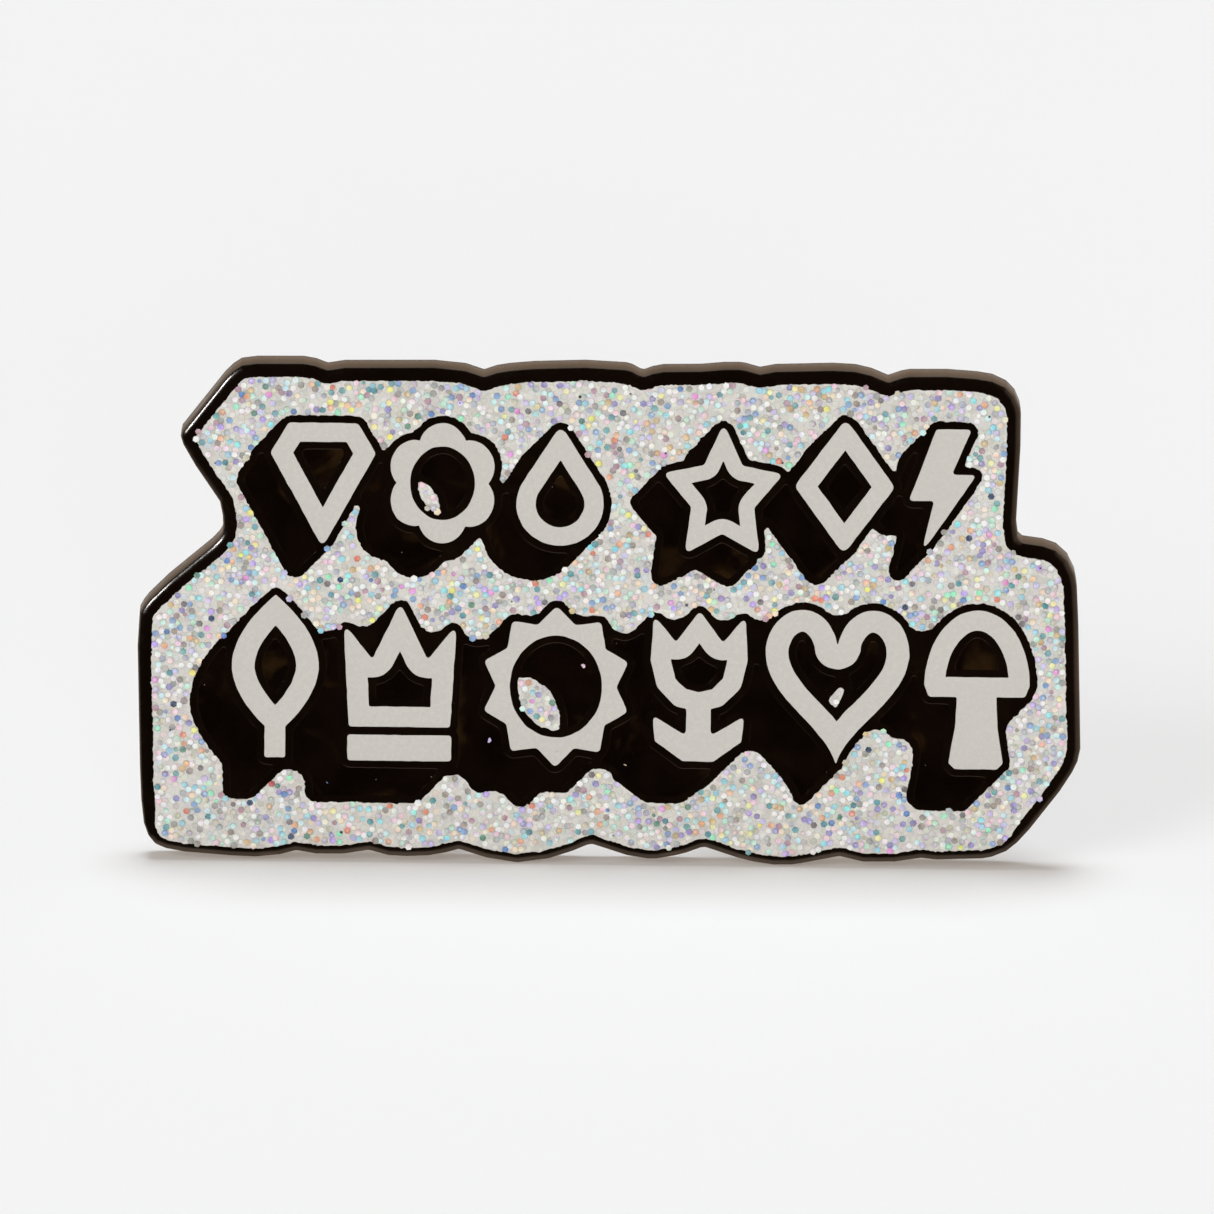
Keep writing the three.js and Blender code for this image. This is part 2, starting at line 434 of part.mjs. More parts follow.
// a strip of even thickness t along a centre line
function strip(line, t) {
  const L = [], R = [];
  line.forEach((p, i) => {
    const a = line[Math.max(0, i - 1)], b = line[Math.min(line.length - 1, i + 1)];
    let nx, nz;
    const u = [p[0] - a[0], p[1] - a[1]], v = [b[0] - p[0], b[1] - p[1]];
    const lu = Math.hypot(...u) || 1, lv = Math.hypot(...v) || 1;
    const n0 = i ? [-u[1] / lu, u[0] / lu] : [-v[1] / lv, v[0] / lv];
    const n1 = i < line.length - 1 ? [-v[1] / lv, v[0] / lv] : n0;
    const m = [n0[0] + n1[0], n0[1] + n1[1]], mm = m[0] ** 2 + m[1] ** 2;
    nx = m[0] * 2 / mm; nz = m[1] * 2 / mm;
    L.push([p[0] + nx * t / 2, p[1] + nz * t / 2]);
    R.push([p[0] - nx * t / 2, p[1] - nz * t / 2]);
  });
  return [...L, ...R.reverse()];
}
const arc = (cx, cz, r, a0, a1, n) => Array.from({ length: n + 1 }, (_, i) => {
  const t = (a0 + (a1 - a0) * i / n) * Math.PI / 180;
  return [cx + r * Math.cos(t), cz + r * Math.sin(t)];
});
const cylY = (r, h0, h1, z = 0, seg = 20) => { const g = new THREE.CylinderGeometry(r, r, h1 - h0, seg); g.translate(0, (h0 + h1) / 2, z); return g; };
const boxAt = (x0, x1, y0, y1, z0, z1) => { const g = new THREE.BoxGeometry(x1 - x0, y1 - y0, z1 - z0); g.translate((x0 + x1) / 2, (y0 + y1) / 2, (z0 + z1) / 2); return g; };
// prism of an (x, z) outline along y
const plan = (L, y0, y1) => { const g = new THREE.ExtrudeGeometry(loopPath(L, THREE.Shape), { depth: y1 - y0, bevelEnabled: false, steps: 1 }); g.rotateX(Math.PI / 2); g.translate(0, y1, 0); return g; };
// prism of an (x, h) outline along z, through everything
const front = (L, z0, z1) => { const g = new THREE.ExtrudeGeometry(loopPath(L, THREE.Shape), { depth: z1 - z0, bevelEnabled: false, steps: 1 }); g.translate(0, 0, z0); return g; };

// heights over the cap's front face
const SADDLE_H = SHEET + 0.06 + SHEET / 2;    // middle of the saddle sheet
const LOW_H = 1.32, HIGH_H = 2.25;            // middles of the lower and upper arm
const FOLD_LOW = [3.70, (SADDLE_H + LOW_H) / 2];
const FOLD_HIGH = [-3.35, (SADDLE_H + HIGH_H) / 2];
const FOLD_GAP = 6;                            // degrees kept free each side of the fold line
const EAR = [[-4.3, 7.6], [-4.3, 5.4], [-3.7, 4.0], [-2.2, 2.9], [-1.1, 2.45], [-1.1, 0], [1.1, 0], [1.1, 2.45], [2.2, 2.9], [3.7, 4.0], [4.3, 5.4], [4.3, 7.6]];

function capGeometry() {
  const r = CAP_R, s = SHEET, h = 1.35;
  const outer = [[0.78, -0.0], [1.25, 0.0], [r - 0.45, 0.0], [r - 0.13, 0.13], [r, 0.45], [r, h - 0.1], [r - 0.1, h + 0.12], [r - 0.35, h + 0.2], [r - 0.75, h + 0.1]];
  const inner = [[r - 0.68, h - 0.16], [r - 0.38, h - 0.1], [r - s, h - 0.2], [r - s, 0.55], [r - s - 0.15, s], [1.25, s], [0.95, s + 0.02]];
  return lathe([...outer, ...inner, outer[0]], 28);
}
function saddleGeometry() {
  const t = SHEET;
  const low = arc(FOLD_LOW[0], FOLD_LOW[1], FOLD_LOW[1] - SADDLE_H, -90, -FOLD_GAP, 4);
  const high = arc(FOLD_HIGH[0], FOLD_HIGH[1], FOLD_HIGH[1] - SADDLE_H, 180 + FOLD_GAP, 270, 5);
  const curls = toSolid(bent(strip([...high, ...low], t), 4.0));
  const disc = ellipse(5.2, 5.2).filter(([, z]) => Math.abs(z) <= 3.3);
  const plateS = toSolid(plan(disc, SADDLE_H - t / 2, SADDLE_H + t / 2));
  return fromSolid(curls.add(plateS).subtract(toSolid(cylY(0.95, 0, 1.2))));
}
// lower arm: from the fold at +w under the upper arm to the ear at -w
function armLine(side, foldC, foldR, armH, bendW) {
  // drawn for the ear on the -w side; side = 1 keeps it, -1 mirrors it
  const rise = 62, R = 0.55;
  const fold = arc(foldC, (SADDLE_H + armH) / 2, foldR, FOLD_GAP, 90, 4);
  const bend = arc(bendW, armH + R, R, 270, 270 - rise, 4);
  const last = bend[bend.length - 1], a = (180 - rise) * Math.PI / 180;
  const tipH = 6.75, L1 = (tipH - 0.9 - last[1]) / Math.sin(a);
  const p1 = [last[0] + L1 * Math.cos(a), last[1] + L1 * Math.sin(a)];
  const lip = [p1[0] - 0.62, p1[1] + 0.75], tip = [lip[0] - 0.5, tipH + 0.1];
  return [...fold, ...bend, p1, lip, tip].map(([w, h]) => [side * w, h]);
}
function earOutline(armHalf) {
  const half = [[armHalf, -1], [armHalf, 1.7], [1.1, 2.0], [1.1, 2.75], [1.7, 3.05], [2.9, 3.55], [3.75, 4.3], [4.2, 5.2], [4.25, 6.0], [3.9, 6.6], [3.2, 7.0], [2.2, 7.2]];
  return [...half, ...[...half].reverse().map(([x, h]) => [-x, h])];
}
function lowArmGeometry() {
  const line = armLine(1, FOLD_LOW[0], FOLD_LOW[1] - SADDLE_H, LOW_H, -1.95);
  let s = toSolid(bent(strip(line, SHEET), 9.0)).intersect(toSolid(front(earOutline(1.85), -8, 8)));
  // narrow neck where it passes through the window of the upper arm
  const neckCut = x => toSolid(boxAt(x > 0 ? 1.05 : -3.0, x > 0 ? 3.0 : -1.05, 0.6, 2.75, -4.2, -1.2));
  s = s.subtract(neckCut(1)).subtract(neckCut(-1)).subtract(toSolid(cylY(0.85, 0.5, 1.8, -0.1)));
  return fromSolid(s);
}
function highArmGeometry() {
  const line = armLine(-1, -FOLD_HIGH[0], FOLD_HIGH[1] - SADDLE_H, HIGH_H, -2.3).reverse();
  let s = toSolid(bent(strip(line, SHEET), 9.0));
  const o = earOutline(2.0).map(([x, h]) => [Math.abs(x) < 1.5 && h > 1.8 && h < 3 ? Math.sign(x) * 1.5 : x, h]);
  s = s.intersect(toSolid(front(o.map(([x, h]) => [x, h === 1.7 ? 2.55 : h === 2.0 ? 2.8 : h === 2.75 ? 3.0 : h === 3.05 ? 3.25 : h]), -8, 8)));
  s = s.subtract(toSolid(boxAt(-1.3, 1.3, 1.6, 2.8, -3.24, -1.28)));
  s = s.subtract(toSolid(cylY(0.85, 1.2, 2.8, 0.1)));
  return fromSolid(s);
}

for (const [side, sx] of [['left', -1], ['right', 1]]) {
  const x = sx * POST_X;
  const post = lathe([[0, 0.03], [POST_HEAD_R - 0.05, 0.03], [POST_HEAD_R, 0.1], [POST_HEAD_R, POST_HEAD_T - 0.08], [POST_HEAD_R - 0.08, POST_HEAD_T], [POST_R + 0.12, POST_HEAD_T], [POST_R, POST_HEAD_T + 0.14],
    [POST_R, 6.15], [POST_R - 0.15, 6.3], [POST_R - 0.15, 6.55], [POST_R, 6.7], [POST_R * 0.8, 7.3], [POST_R * 0.36, 7.85], [0, POST_L]], 14);
  post.translate(x, 0, 0);
  add('post_' + side, post, NICKEL, 0.3, 1);
  const solder = lathe([[POST_HEAD_R + 0.02, 0.02], [POST_HEAD_R + 0.5, 0.02], [POST_HEAD_R + 0.42, 0.09], [POST_HEAD_R + 0.2, 0.17], [POST_HEAD_R + 0.02, 0.3], [POST_HEAD_R + 0.02, 0.02]], 14);
  solder.translate(x, 0, 0);
  add('solder_' + side, solder, SOLDER, 0.4, 1);
  const clutch = new THREE.Group();
  clutch.position.set(x, CLUTCH_Y, 0);
  group.add(clutch);
  add('clutch_cap_' + side, capGeometry(), NICKEL, 0.3, 1, clutch);
  add('clutch_saddle_' + side, saddleGeometry(), NICKEL, 0.3, 1, clutch);
  add('clutch_wing_lower_' + side, lowArmGeometry(), NICKEL, 0.3, 1, clutch);
  add('clutch_wing_upper_' + side, highArmGeometry(), NICKEL, 0.3, 1, clutch);
}

export default group;
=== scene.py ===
import bpy, math
import numpy as np
from mathutils import Vector, Matrix, Quaternion
from mathutils.geometry import delaunay_2d_cdt

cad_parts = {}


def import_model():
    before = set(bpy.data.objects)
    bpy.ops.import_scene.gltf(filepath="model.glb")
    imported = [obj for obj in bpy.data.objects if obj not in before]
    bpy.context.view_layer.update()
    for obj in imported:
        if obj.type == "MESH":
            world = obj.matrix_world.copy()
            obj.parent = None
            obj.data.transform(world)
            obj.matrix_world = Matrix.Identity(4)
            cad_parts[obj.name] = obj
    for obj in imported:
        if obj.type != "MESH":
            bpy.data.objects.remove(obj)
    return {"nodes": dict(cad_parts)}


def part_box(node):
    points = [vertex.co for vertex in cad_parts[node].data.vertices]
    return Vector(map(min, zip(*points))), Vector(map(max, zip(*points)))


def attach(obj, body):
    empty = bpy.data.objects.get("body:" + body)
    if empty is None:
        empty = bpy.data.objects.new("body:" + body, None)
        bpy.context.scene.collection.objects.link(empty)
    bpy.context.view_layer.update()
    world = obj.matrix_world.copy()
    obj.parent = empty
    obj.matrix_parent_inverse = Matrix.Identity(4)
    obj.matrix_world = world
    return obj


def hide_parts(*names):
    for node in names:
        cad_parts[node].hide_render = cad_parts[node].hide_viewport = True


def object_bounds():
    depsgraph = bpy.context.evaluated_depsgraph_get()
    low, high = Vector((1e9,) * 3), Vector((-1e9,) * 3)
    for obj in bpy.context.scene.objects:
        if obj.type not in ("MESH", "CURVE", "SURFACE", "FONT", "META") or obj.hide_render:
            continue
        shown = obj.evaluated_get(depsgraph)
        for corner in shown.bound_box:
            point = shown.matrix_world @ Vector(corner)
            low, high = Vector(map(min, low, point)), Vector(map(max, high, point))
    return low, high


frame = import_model()
cad_lo, cad_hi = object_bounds()
NODES = frame["nodes"]
RNG = np.random.default_rng(20240611)
MM = 0.001

# ------------------------------------------------------------------ dimensions
PLATE_T = 1.30
EDGE_W, EDGE_D = 0.34, 0.27          # width and depth of the rounded rim
CROWN = 0.014                         # the rim's land falls this much more towards its edge
RIM_W, DAM_W = 0.55, 0.31
FLOOR_H = 0.85                        # height of a cell's floor over the back
DAM_R, DAM_E = 0.070, 0.010           # rounding of the dams
SHADOW_1, SHADOW_2 = (-1.08, -1.16), (-1.38, -1.48)
CLOSE_1, CLOSE_2 = 0.34, 0.95
POST_X, CLUTCH_Y, SHEET = 10.0, 0.95, 0.30
CAP_R = 5.7

OUTLINE = np.array([[-19.08,-1.48],[-18.97,-6.6],[-18.91,-8.03],[-18.8,-9.02],[-18.62,-9.54],[-18.34,-9.89],[-17.89,-10.09],[-17.16,-10.22],[-15.26,-10.36],[-14.25,-10.4],[-13.28,-10.29],[-12.63,-10.1],[-11.81,-10.24],[-10.72,-10.23],[-9.67,-10.05],[-8.88,-10.27],[-8.17,-10.3],[-7.28,-10.26],[-6.55,-10.12],[-6.02,-9.96],[-4.95,-10.31],[-3.67,-10.51],[-2.38,-10.32],[-1.4,-9.98],[-0.84,-9.72],[-0.63,-9.68],[0.77,-10.14],[1.64,-10.28],[2.0,-10.27],[2.73,-10.13],[3.18,-10.01],[3.77,-9.77],[3.94,-9.75],[5.19,-10.17],[5.91,-10.35],[6.71,-10.47],[7.44,-10.46],[7.84,-10.4],[9.39,-10.07],[10.36,-10.3],[11.65,-10.28],[12.71,-10.1],[13.32,-10.17],[15.17,-10.1],[15.55,-10.03],[16.16,-9.77],[16.59,-9.4],[17.11,-8.79],[18.29,-7.17],[18.76,-6.39],[18.96,-5.94],[19.07,-5.38],[18.89,-0.21],[18.79,1.5],[18.69,1.99],[18.39,2.61],[17.94,3.03],[17.4,3.22],[16.57,3.33],[16.38,3.5],[16.29,4.2],[16.41,7.38],[16.4,8.75],[16.35,9.0],[16.14,9.49],[15.79,9.85],[15.24,10.11],[14.61,10.21],[13.4,10.29],[11.9,10.27],[11.56,10.2],[11.05,10.01],[10.37,10.3],[9.71,10.45],[8.82,10.49],[6.51,10.41],[5.9,10.28],[5.3,10.45],[5.05,10.48],[4.44,10.47],[3.55,10.38],[2.01,10.35],[1.57,10.26],[1.24,10.13],[1.1,10.15],[0.76,10.34],[0.5,10.41],[-1.11,10.49],[-3.22,10.41],[-4.23,10.31],[-4.71,10.22],[-5.2,10.04],[-5.94,10.29],[-7.19,10.41],[-10.8,10.36],[-11.49,10.24],[-11.95,10.42],[-12.47,10.51],[-14.33,10.49],[-14.95,10.4],[-15.29,10.17],[-15.62,9.83],[-17.32,7.58],[-17.38,7.35],[-17.27,6.99],[-16.75,6.07],[-15.79,4.64],[-15.67,4.04],[-15.65,3.6],[-15.69,3.34],[-15.82,3.12],[-16.1,2.81],[-17.85,1.29],[-18.65,0.47],[-18.84,0.21],[-19.0,-0.08]])

# ------------------------------------------------------------- distance grids
class Grid:
    def __init__(self, x0, z0, x1, z1, step):
        self.x0, self.z0, self.step = x0, z0, step
        self.nx = int(round((x1 - x0) / step)) + 1
        self.nz = int(round((z1 - z0) / step)) + 1

    def sdf(self, loops, band=1.7):
        """signed distance, negative inside (even-odd), cut at the band"""
        f = np.full((self.nz, self.nx), float(band))
        cnt = np.zeros((self.nz, self.nx + 1), np.int32)
        S, X0, Z0 = self.step, self.x0, self.z0
        for L in loops:
            L = np.asarray(L, float)
            for (ax, az), (bx, bz) in zip(L, np.roll(L, -1, 0)):
                dx, dz = bx - ax, bz - az
                q = dx * dx + dz * dz + 1e-18
                i0 = max(0, math.ceil((min(ax, bx) - band - X0) / S)); i1 = min(self.nx - 1, math.floor((max(ax, bx) + band - X0) / S))
                j0 = max(0, math.ceil((min(az, bz) - band - Z0) / S)); j1 = min(self.nz - 1, math.floor((max(az, bz) + band - Z0) / S))
                if i1 >= i0 and j1 >= j0:
                    px = X0 + np.arange(i0, i1 + 1) * S - ax
                    pz = (Z0 + np.arange(j0, j1 + 1) * S - az)[:, None]
                    t = np.clip((px * dx + pz * dz) / q, 0, 1)
                    d = np.sqrt((px - t * dx) ** 2 + (pz - t * dz) ** 2)
                    w = f[j0:j1 + 1, i0:i1 + 1]
                    np.minimum(w, d, out=w)
                if az != bz:
                    lo, hi = (az, bz) if az < bz else (bz, az)
                    r0 = max(0, math.ceil((lo - Z0 - 1e-7) / S)); r1 = min(self.nz - 1, math.ceil((hi - Z0 - 1e-7) / S) - 1)
                    if r1 >= r0:
                        r = np.arange(r0, r1 + 1)
                        xc = ax + (Z0 + r * S + 1e-7 - az) / dz * dx
                        k = np.clip(np.ceil((xc - X0) / S).astype(int), 0, self.nx)
                        np.add.at(cnt, (r, k), 1)
        par = np.cumsum(cnt, 1)[:, :-1] % 2
        return np.where(par == 1, -f, f)

    def sample(self, f, p):
        u = np.clip((p[:, 0] - self.x0) / self.step, 0, self.nx - 1.001)
        v = np.clip((p[:, 1] - self.z0) / self.step, 0, self.nz - 1.001)
        i, j = u.astype(int), v.astype(int)
        a, b = u - i, v - j
        return (f[j, i] * (1 - a) + f[j, i + 1] * a) * (1 - b) + (f[j + 1, i] * (1 - a) + f[j + 1, i + 1] * a) * b

    def shifted(self, f, dx, dz, fill):
        """the field moved by (dx, dz)"""
        u, v = -dx / self.step, -dz / self.step
        iu, iv = math.floor(u), math.floor(v)
        a, b = u - iu, v - iv
        P = np.pad(f, ((80, 80), (80, 80)), constant_values=fill)
        g = lambda i, j: P[80 + j:80 + j + self.nz, 80 + i:80 + i + self.nx]
        return (g(iu, iv) * (1 - a) + g(iu + 1, iv) * a) * (1 - b) + (g(iu, iv + 1) * (1 - a) + g(iu + 1, iv + 1) * a) * b

    TABLE = {1: [(3, 0)], 2: [(0, 1)], 3: [(3, 1)], 4: [(1, 2)], 6: [(0, 2)], 7: [(3, 2)], 8: [(2, 3)], 9: [(2, 0)], 11: [(2, 1)], 12: [(1, 3)], 13: [(1, 0)], 14: [(0, 3)], 5: [(3, 0), (1, 2)], 10: [(0, 1), (2, 3)]}

    def contours(self, f, level=0.0):
        F = f - level
        F = np.where(np.abs(F) < 1e-9, 1e-9, F)
        ins = F < 0
        code = ins[:-1, :-1] * 1 + ins[:-1, 1:] * 2 + ins[1:, 1:] * 4 + ins[1:, :-1] * 8
        js, is_ = np.where((code > 0) & (code < 15))
        nx = self.nx
        nxt, T = {}, self.TABLE
        for j, i, k in zip(js.tolist(), is_.tolist(), code[js, is_].tolist()):
            n = j * nx + i
            e = (2 * n, 2 * (n + 1) + 1, 2 * (n + nx), 2 * n + 1)
            for a, b in T[k]:
                nxt[e[a]] = e[b]
        out, seen = [], set()
        for s in nxt:
            if s in seen:
                continue
            loop, k = [], s
            while k not in seen:
                seen.add(k)
                loop.append(k)
                k = nxt.get(k, s)
            K = np.array(loop)
            n, vert = K // 2, K % 2 == 1
            j, i = n // nx, n % nx
            f0 = F[j, i]
            f1 = np.where(vert, F[np.minimum(j + 1, self.nz - 1), i], F[j, np.minimum(i + 1, nx - 1)])
            t = np.clip(f0 / (f0 - f1), 0.001, 0.999)
            out.append(np.c_[self.x0 + (i + np.where(vert, 0, t)) * self.step, self.z0 + (j + np.where(vert, t, 0)) * self.step])
        return [L for L in out if len(L) > 5]


def area(L):
    x, z = L[:, 0], L[:, 1]
    return 0.5 * float(np.sum(x * np.roll(z, -1) - np.roll(x, -1) * z))


def simplify(L, tol):
    """closed Douglas-Peucker"""
    L = np.roll(L, -int(np.argmin(L[:, 0])), 0)
    P = np.vstack([L, L[:1]])
    far = int(np.argmax(np.hypot(*(P - P[0]).T)))
    keep = {0, far}
    stack = [(0, far), (far, len(P) - 1)]
    while stack:
        a, b = stack.pop()
        if b <= a + 1:
            continue
        A, v = P[a], P[b] - P[a]
        ln = math.hypot(*v)
        q = P[a + 1:b] - A
        d = np.hypot(q[:, 0], q[:, 1]) if ln < 1e-9 else np.abs(v[0] * q[:, 1] - v[1] * q[:, 0]) / ln
        m = int(np.argmax(d))
        if d[m] > tol:
            m += a + 1
            keep.add(m)
            stack += [(a, m), (m, b)]
    return P[sorted(keep)]


def divide(L, most):
    """no edge longer than most"""
    out = []
    for a, b in zip(L, np.roll(L, -1, 0)):
        n = max(1, math.ceil(math.hypot(*(b - a)) / most))
        for k in range(n):
            out.append(a + (b - a) * k / n)
    return np.array(out)


def clean(L, tol=0.003, most=0.35):
    """a raw contour, eased a little, with few points on straights and enough on bends"""
    S = (np.roll(L, 1, 0) + 2 * L + np.roll(L, -1, 0)) / 4
    return divide(simplify(S, tol), most)


def inside(p, L):
    x, z = p
    A, B = L, np.roll(L, -1, 0)
    c = (A[:, 1] > z) != (B[:, 1] > z)
    return bool(np.sum(c & (x < (B[:, 0] - A[:, 0]) * (z - A[:, 1]) / np.where(B[:, 1] == A[:, 1], 1e-12, B[:, 1] - A[:, 1]) + A[:, 0])) % 2)


def regions(g, f, min_area, tol=0.003):
    Ls = [clean(L, tol) for L in g.contours(f)]
    Ls = [L for L in Ls if abs(area(L)) > 0.02]
    big = max(Ls, key=lambda L: abs(area(L)))
    sign = 1 if area(big) > 0 else -1
    outs = [[L] for L in Ls if area(L) * sign > 0 and abs(area(L)) >= min_area]
    outs.sort(key=lambda r: -abs(area(r[0])))
    for H in (L for L in Ls if area(L) * sign < 0):
        home = [r for r in outs if inside(H[0], r[0])]
        if home:
            home[-1].append(H)
    return outs


# ------------------------------------------------------------------ pictograms
def rounded(pts, r):
    pts = [tuple(p) for p in pts]
    n, out = len(pts), []
    for i, p in enumerate(pts):
        a, b = np.array(pts[i - 1]), np.array(pts[(i + 1) % n])
        p = np.array(p)
        u, v = a - p, b - p
        lu, lv = math.hypot(*u), math.hypot(*v)
        R = r[i] if isinstance(r, (list, tuple)) else r
        ang = math.acos(max(-1, min(1, float(u @ v) / (lu * lv))))
        if R <= 0 or ang > 3.05:
            out.append(p)
            continue
        t = min(R / math.tan(ang / 2), 0.45 * lu, 0.45 * lv)
        s, e = p + u / lu * t, p + v / lv * t
        m = max(4, math.ceil((math.pi - ang) / 0.16))
        for k in range(m + 1):
            q = k / m
            out.append((1 - q) ** 2 * s + 2 * q * (1 - q) * p + q * q * e)
    return np.array(out)


def ellipse(rx, rz, n=96):
    t = np.arange(n) / n * 2 * math.pi
    return np.c_[rx * np.cos(t), rz * np.sin(t)]


def star(n, Rx, Rz, k, cz=0.0):
    t = math.pi / 2 + np.arange(2 * n) * math.pi / n
    q = np.where(np.arange(2 * n) % 2 == 1, k, 1.0)
    return np.c_[Rx * q * np.cos(t), cz + Rz * q * np.sin(t)]


def heart(w, h):
    t = np.arange(160) / 160 * 2 * math.pi
    return np.c_[np.sin(t) ** 3 / 2 * w, (13 * np.cos(t) - 5 * np.cos(2 * t) - 2 * np.cos(3 * t) - np.cos(4 * t) + 2.6) / 28.9 * h]


def drop(R, cz, top):
    a = math.acos(R / (top - cz))
    t = math.pi / 2 + a + (2 * math.pi - 2 * a) * np.arange(61) / 60
    pts = np.vstack([[[0, top]], np.c_[R * np.cos(t), cz + R * np.sin(t)]])
    return rounded(pts, [0.3] + [0] * 61)


def flower():
    t = np.arange(240) / 240 * 2 * math.pi
    r = 1.90 + 0.44 * np.abs(np.cos(3 * (t - math.pi / 2))) ** 0.8
    return np.c_[r * np.cos(t) * 0.965, r * np.sin(t) * 1.08]


def leaf():
    s = np.linspace(-1, 1, 49)
    left = np.c_[-1.76 * (1 - np.abs(s) ** 1.9), 0.46 + s * 2.98]
    s = s[::-1][1:-1]
    return np.vstack([left, np.c_[1.76 * (1 - np.abs(s) ** 1.9), 0.46 + s * 2.98]])


def mushroom_cap():
    t = math.pi * np.arange(29) / 28
    return rounded(np.vstack([np.c_[2.13 * np.cos(t), 0.2 + 3.16 * np.sin(t)], [[-1.95, -0.3], [1.95, -0.3]]]), 0.2)


PICTOGRAMS = [
    ("gem", 1, (-11.64, 5.53), [([rounded([(-1.4, 2.52), (-2.12, 1.25), (0, -2.72), (2.12, 1.25), (1.4, 2.52)], 0.22)], 0.80, [])]),
    ("flower", 1, (-6.83, 5.57), [([flower(), ellipse(1.30, 1.55)], 0, [])]),
    ("drop", 1, (-2.09, 5.48), [([drop(1.76, -0.72, 2.6)], 0.78, [])]),
    ("star", 1, (4.46, 5.44), [([rounded(star(5, 2.56, 3.05, 0.52, -0.26), 0.2)], 0.64, [])]),
    ("kite", 1, (9.36, 5.63), [([rounded([(0, 2.85), (-2.02, 0), (0, -2.85), (2.02, 0)], 0.3)], 0.76, [])]),
    ("bolt", 1, (13.31, 5.57), [([rounded([(-0.3, 2.52), (-1.36, -0.5), (-0.34, -0.5), (-0.85, -2.75), (1.36, 0.62), (0.36, 0.62), (1.12, 2.52)], 0.14)], 0, [])]),
    ("leaf", 2, (-13.51, -2.65), [([leaf()], 0.92, [rounded([(-0.42, -3.44), (0.42, -3.44), (0.42, -1.6), (-0.42, -1.6)], 0.12)])]),
    ("crown", 2, (-8.48, -2.84), [([rounded([(-2.05, -1.9), (2.05, -1.9), (2.29, 2.5), (1.12, 0.95), (0, 3.36), (-1.12, 0.95), (-2.29, 2.5)], [0.12, 0.12, 0.2, 0.12, 0.2, 0.12, 0.2])], 0.86, []),
                                  ([rounded([(-2.1, -3.34), (2.1, -3.34), (2.1, -2.24), (-2.1, -2.24)], 0.14)], 0, [])]),
    ("sun", 2, (-2.17, -2.95), [([rounded(star(10, 3.06, 3.42, 0.80), 0.2), ellipse(1.86, 2.16)], 0, [])]),
    ("tulip", 2, (3.60, -2.86), [([rounded([(-1.86, 3.0), (-1.96, 1.1), (-1.7, -0.05), (-0.95, -0.85), (0, -1.08), (0.95, -0.85), (1.7, -0.05), (1.96, 1.1), (1.86, 3.0), (0.95, 1.85), (0, 3.19), (-0.95, 1.85)],
                                   [0.18, 0.5, 0.6, 0.6, 0.6, 0.6, 0.6, 0.5, 0.18, 0.12, 0.18, 0.12])], 0.80,
                                  [rounded([(-0.5, -0.7), (-0.5, -2.1), (-1.85, -1.25), (-1.75, -2.35), (-0.62, -3.19), (0.62, -3.19), (1.75, -2.35), (1.85, -1.25), (0.5, -2.1), (0.5, -0.7)], 0.14)])]),
    ("heart", 2, (9.18, -2.89), [([heart(5.8, 6.6)], 0.92, [])]),
    ("mushroom", 2, (14.83, -2.88), [([mushroom_cap()], 0.84, [rounded([(-0.78, 0.2), (-0.86, -1.6), (-1.1, -3.1), (-0.85, -3.36), (0.85, -3.36), (1.1, -3.1), (0.86, -1.6), (0.78, 0.2)], 0.15)])]),
]

G0 = Grid(-20.4, -11.9, 20.4, 11.9, 0.04)
BAND = 1.7
G = np.full((G0.nz, G0.nx), BAND)
U = G.copy()
glyphs = []
for name, row, at, cells in PICTOGRAMS:
    g = None
    for loops, ring, join in cells:
        f = G0.sdf([L + np.array(at) for L in loops])
        if ring:
            f = np.maximum(f, -(f + ring))
        if join:
            f = np.minimum(f, G0.sdf([L + np.array(at) for L in join]))
        g = f if g is None else np.minimum(g, f)
    glyphs.append(g)
    G = np.minimum(G, g)
    d = SHADOW_1 if row == 1 else SHADOW_2
    for k in range(0, 31):
        U = np.minimum(U, G0.shifted(g, d[0] * k / 30, d[1] * k / 30, BAND))

all_u = regions(G0, U, 0.2)
windows = [h for r in all_u for h in r[1:]]
outer_u = [r[0] for r in all_u]


def close(f, r):
    g = G0.sdf([simplify(L, 0.003) for L in G0.contours(f, r)])
    return np.minimum(f, g + r)


upper = G0.sdf([L for L in outer_u if L[:, 1].max() > 3])
lower = G0.sdf([L for L in outer_u if L[:, 1].max() <= 3])
U = np.minimum(np.minimum(close(upper, CLOSE_1), close(lower, CLOSE_2)), G0.sdf(outer_u))
W = G0.sdf(windows)
kept = regions(G0, W + DAM_W, 0.22)
keep = [L for L in windows if any(inside(k[0][0], L) for k in kept)]
if keep:
    U = np.maximum(U, -G0.sdf(keep))
D = G0.sdf([OUTLINE])


def opened(f, r):
    return G0.sdf([simplify(L, 0.003) for L in G0.contours(f, -r)]) - r


def ragged(shape, wave, seed):
    """smooth noise of about unit size with the given wavelength in grid steps"""
    r = np.random.default_rng(seed)
    n = (int(shape[0] / wave) + 4, int(shape[1] / wave) + 4)
    c = r.normal(0, 1, n)
    v, u = np.arange(shape[0]) / wave, np.arange(shape[1]) / wave
    j, i = v.astype(int), u.astype(int)
    a, b = v - j, u - i
    a, b = (a * a * (3 - 2 * a))[:, None], (b * b * (3 - 2 * b))[None, :]
    J, I = j[:, None], i[None, :]
    return (c[J, I] * (1 - b) + c[J, I + 1] * b) * (1 - a) + (c[J + 1, I] * (1 - b) + c[J + 1, I + 1] * b) * a


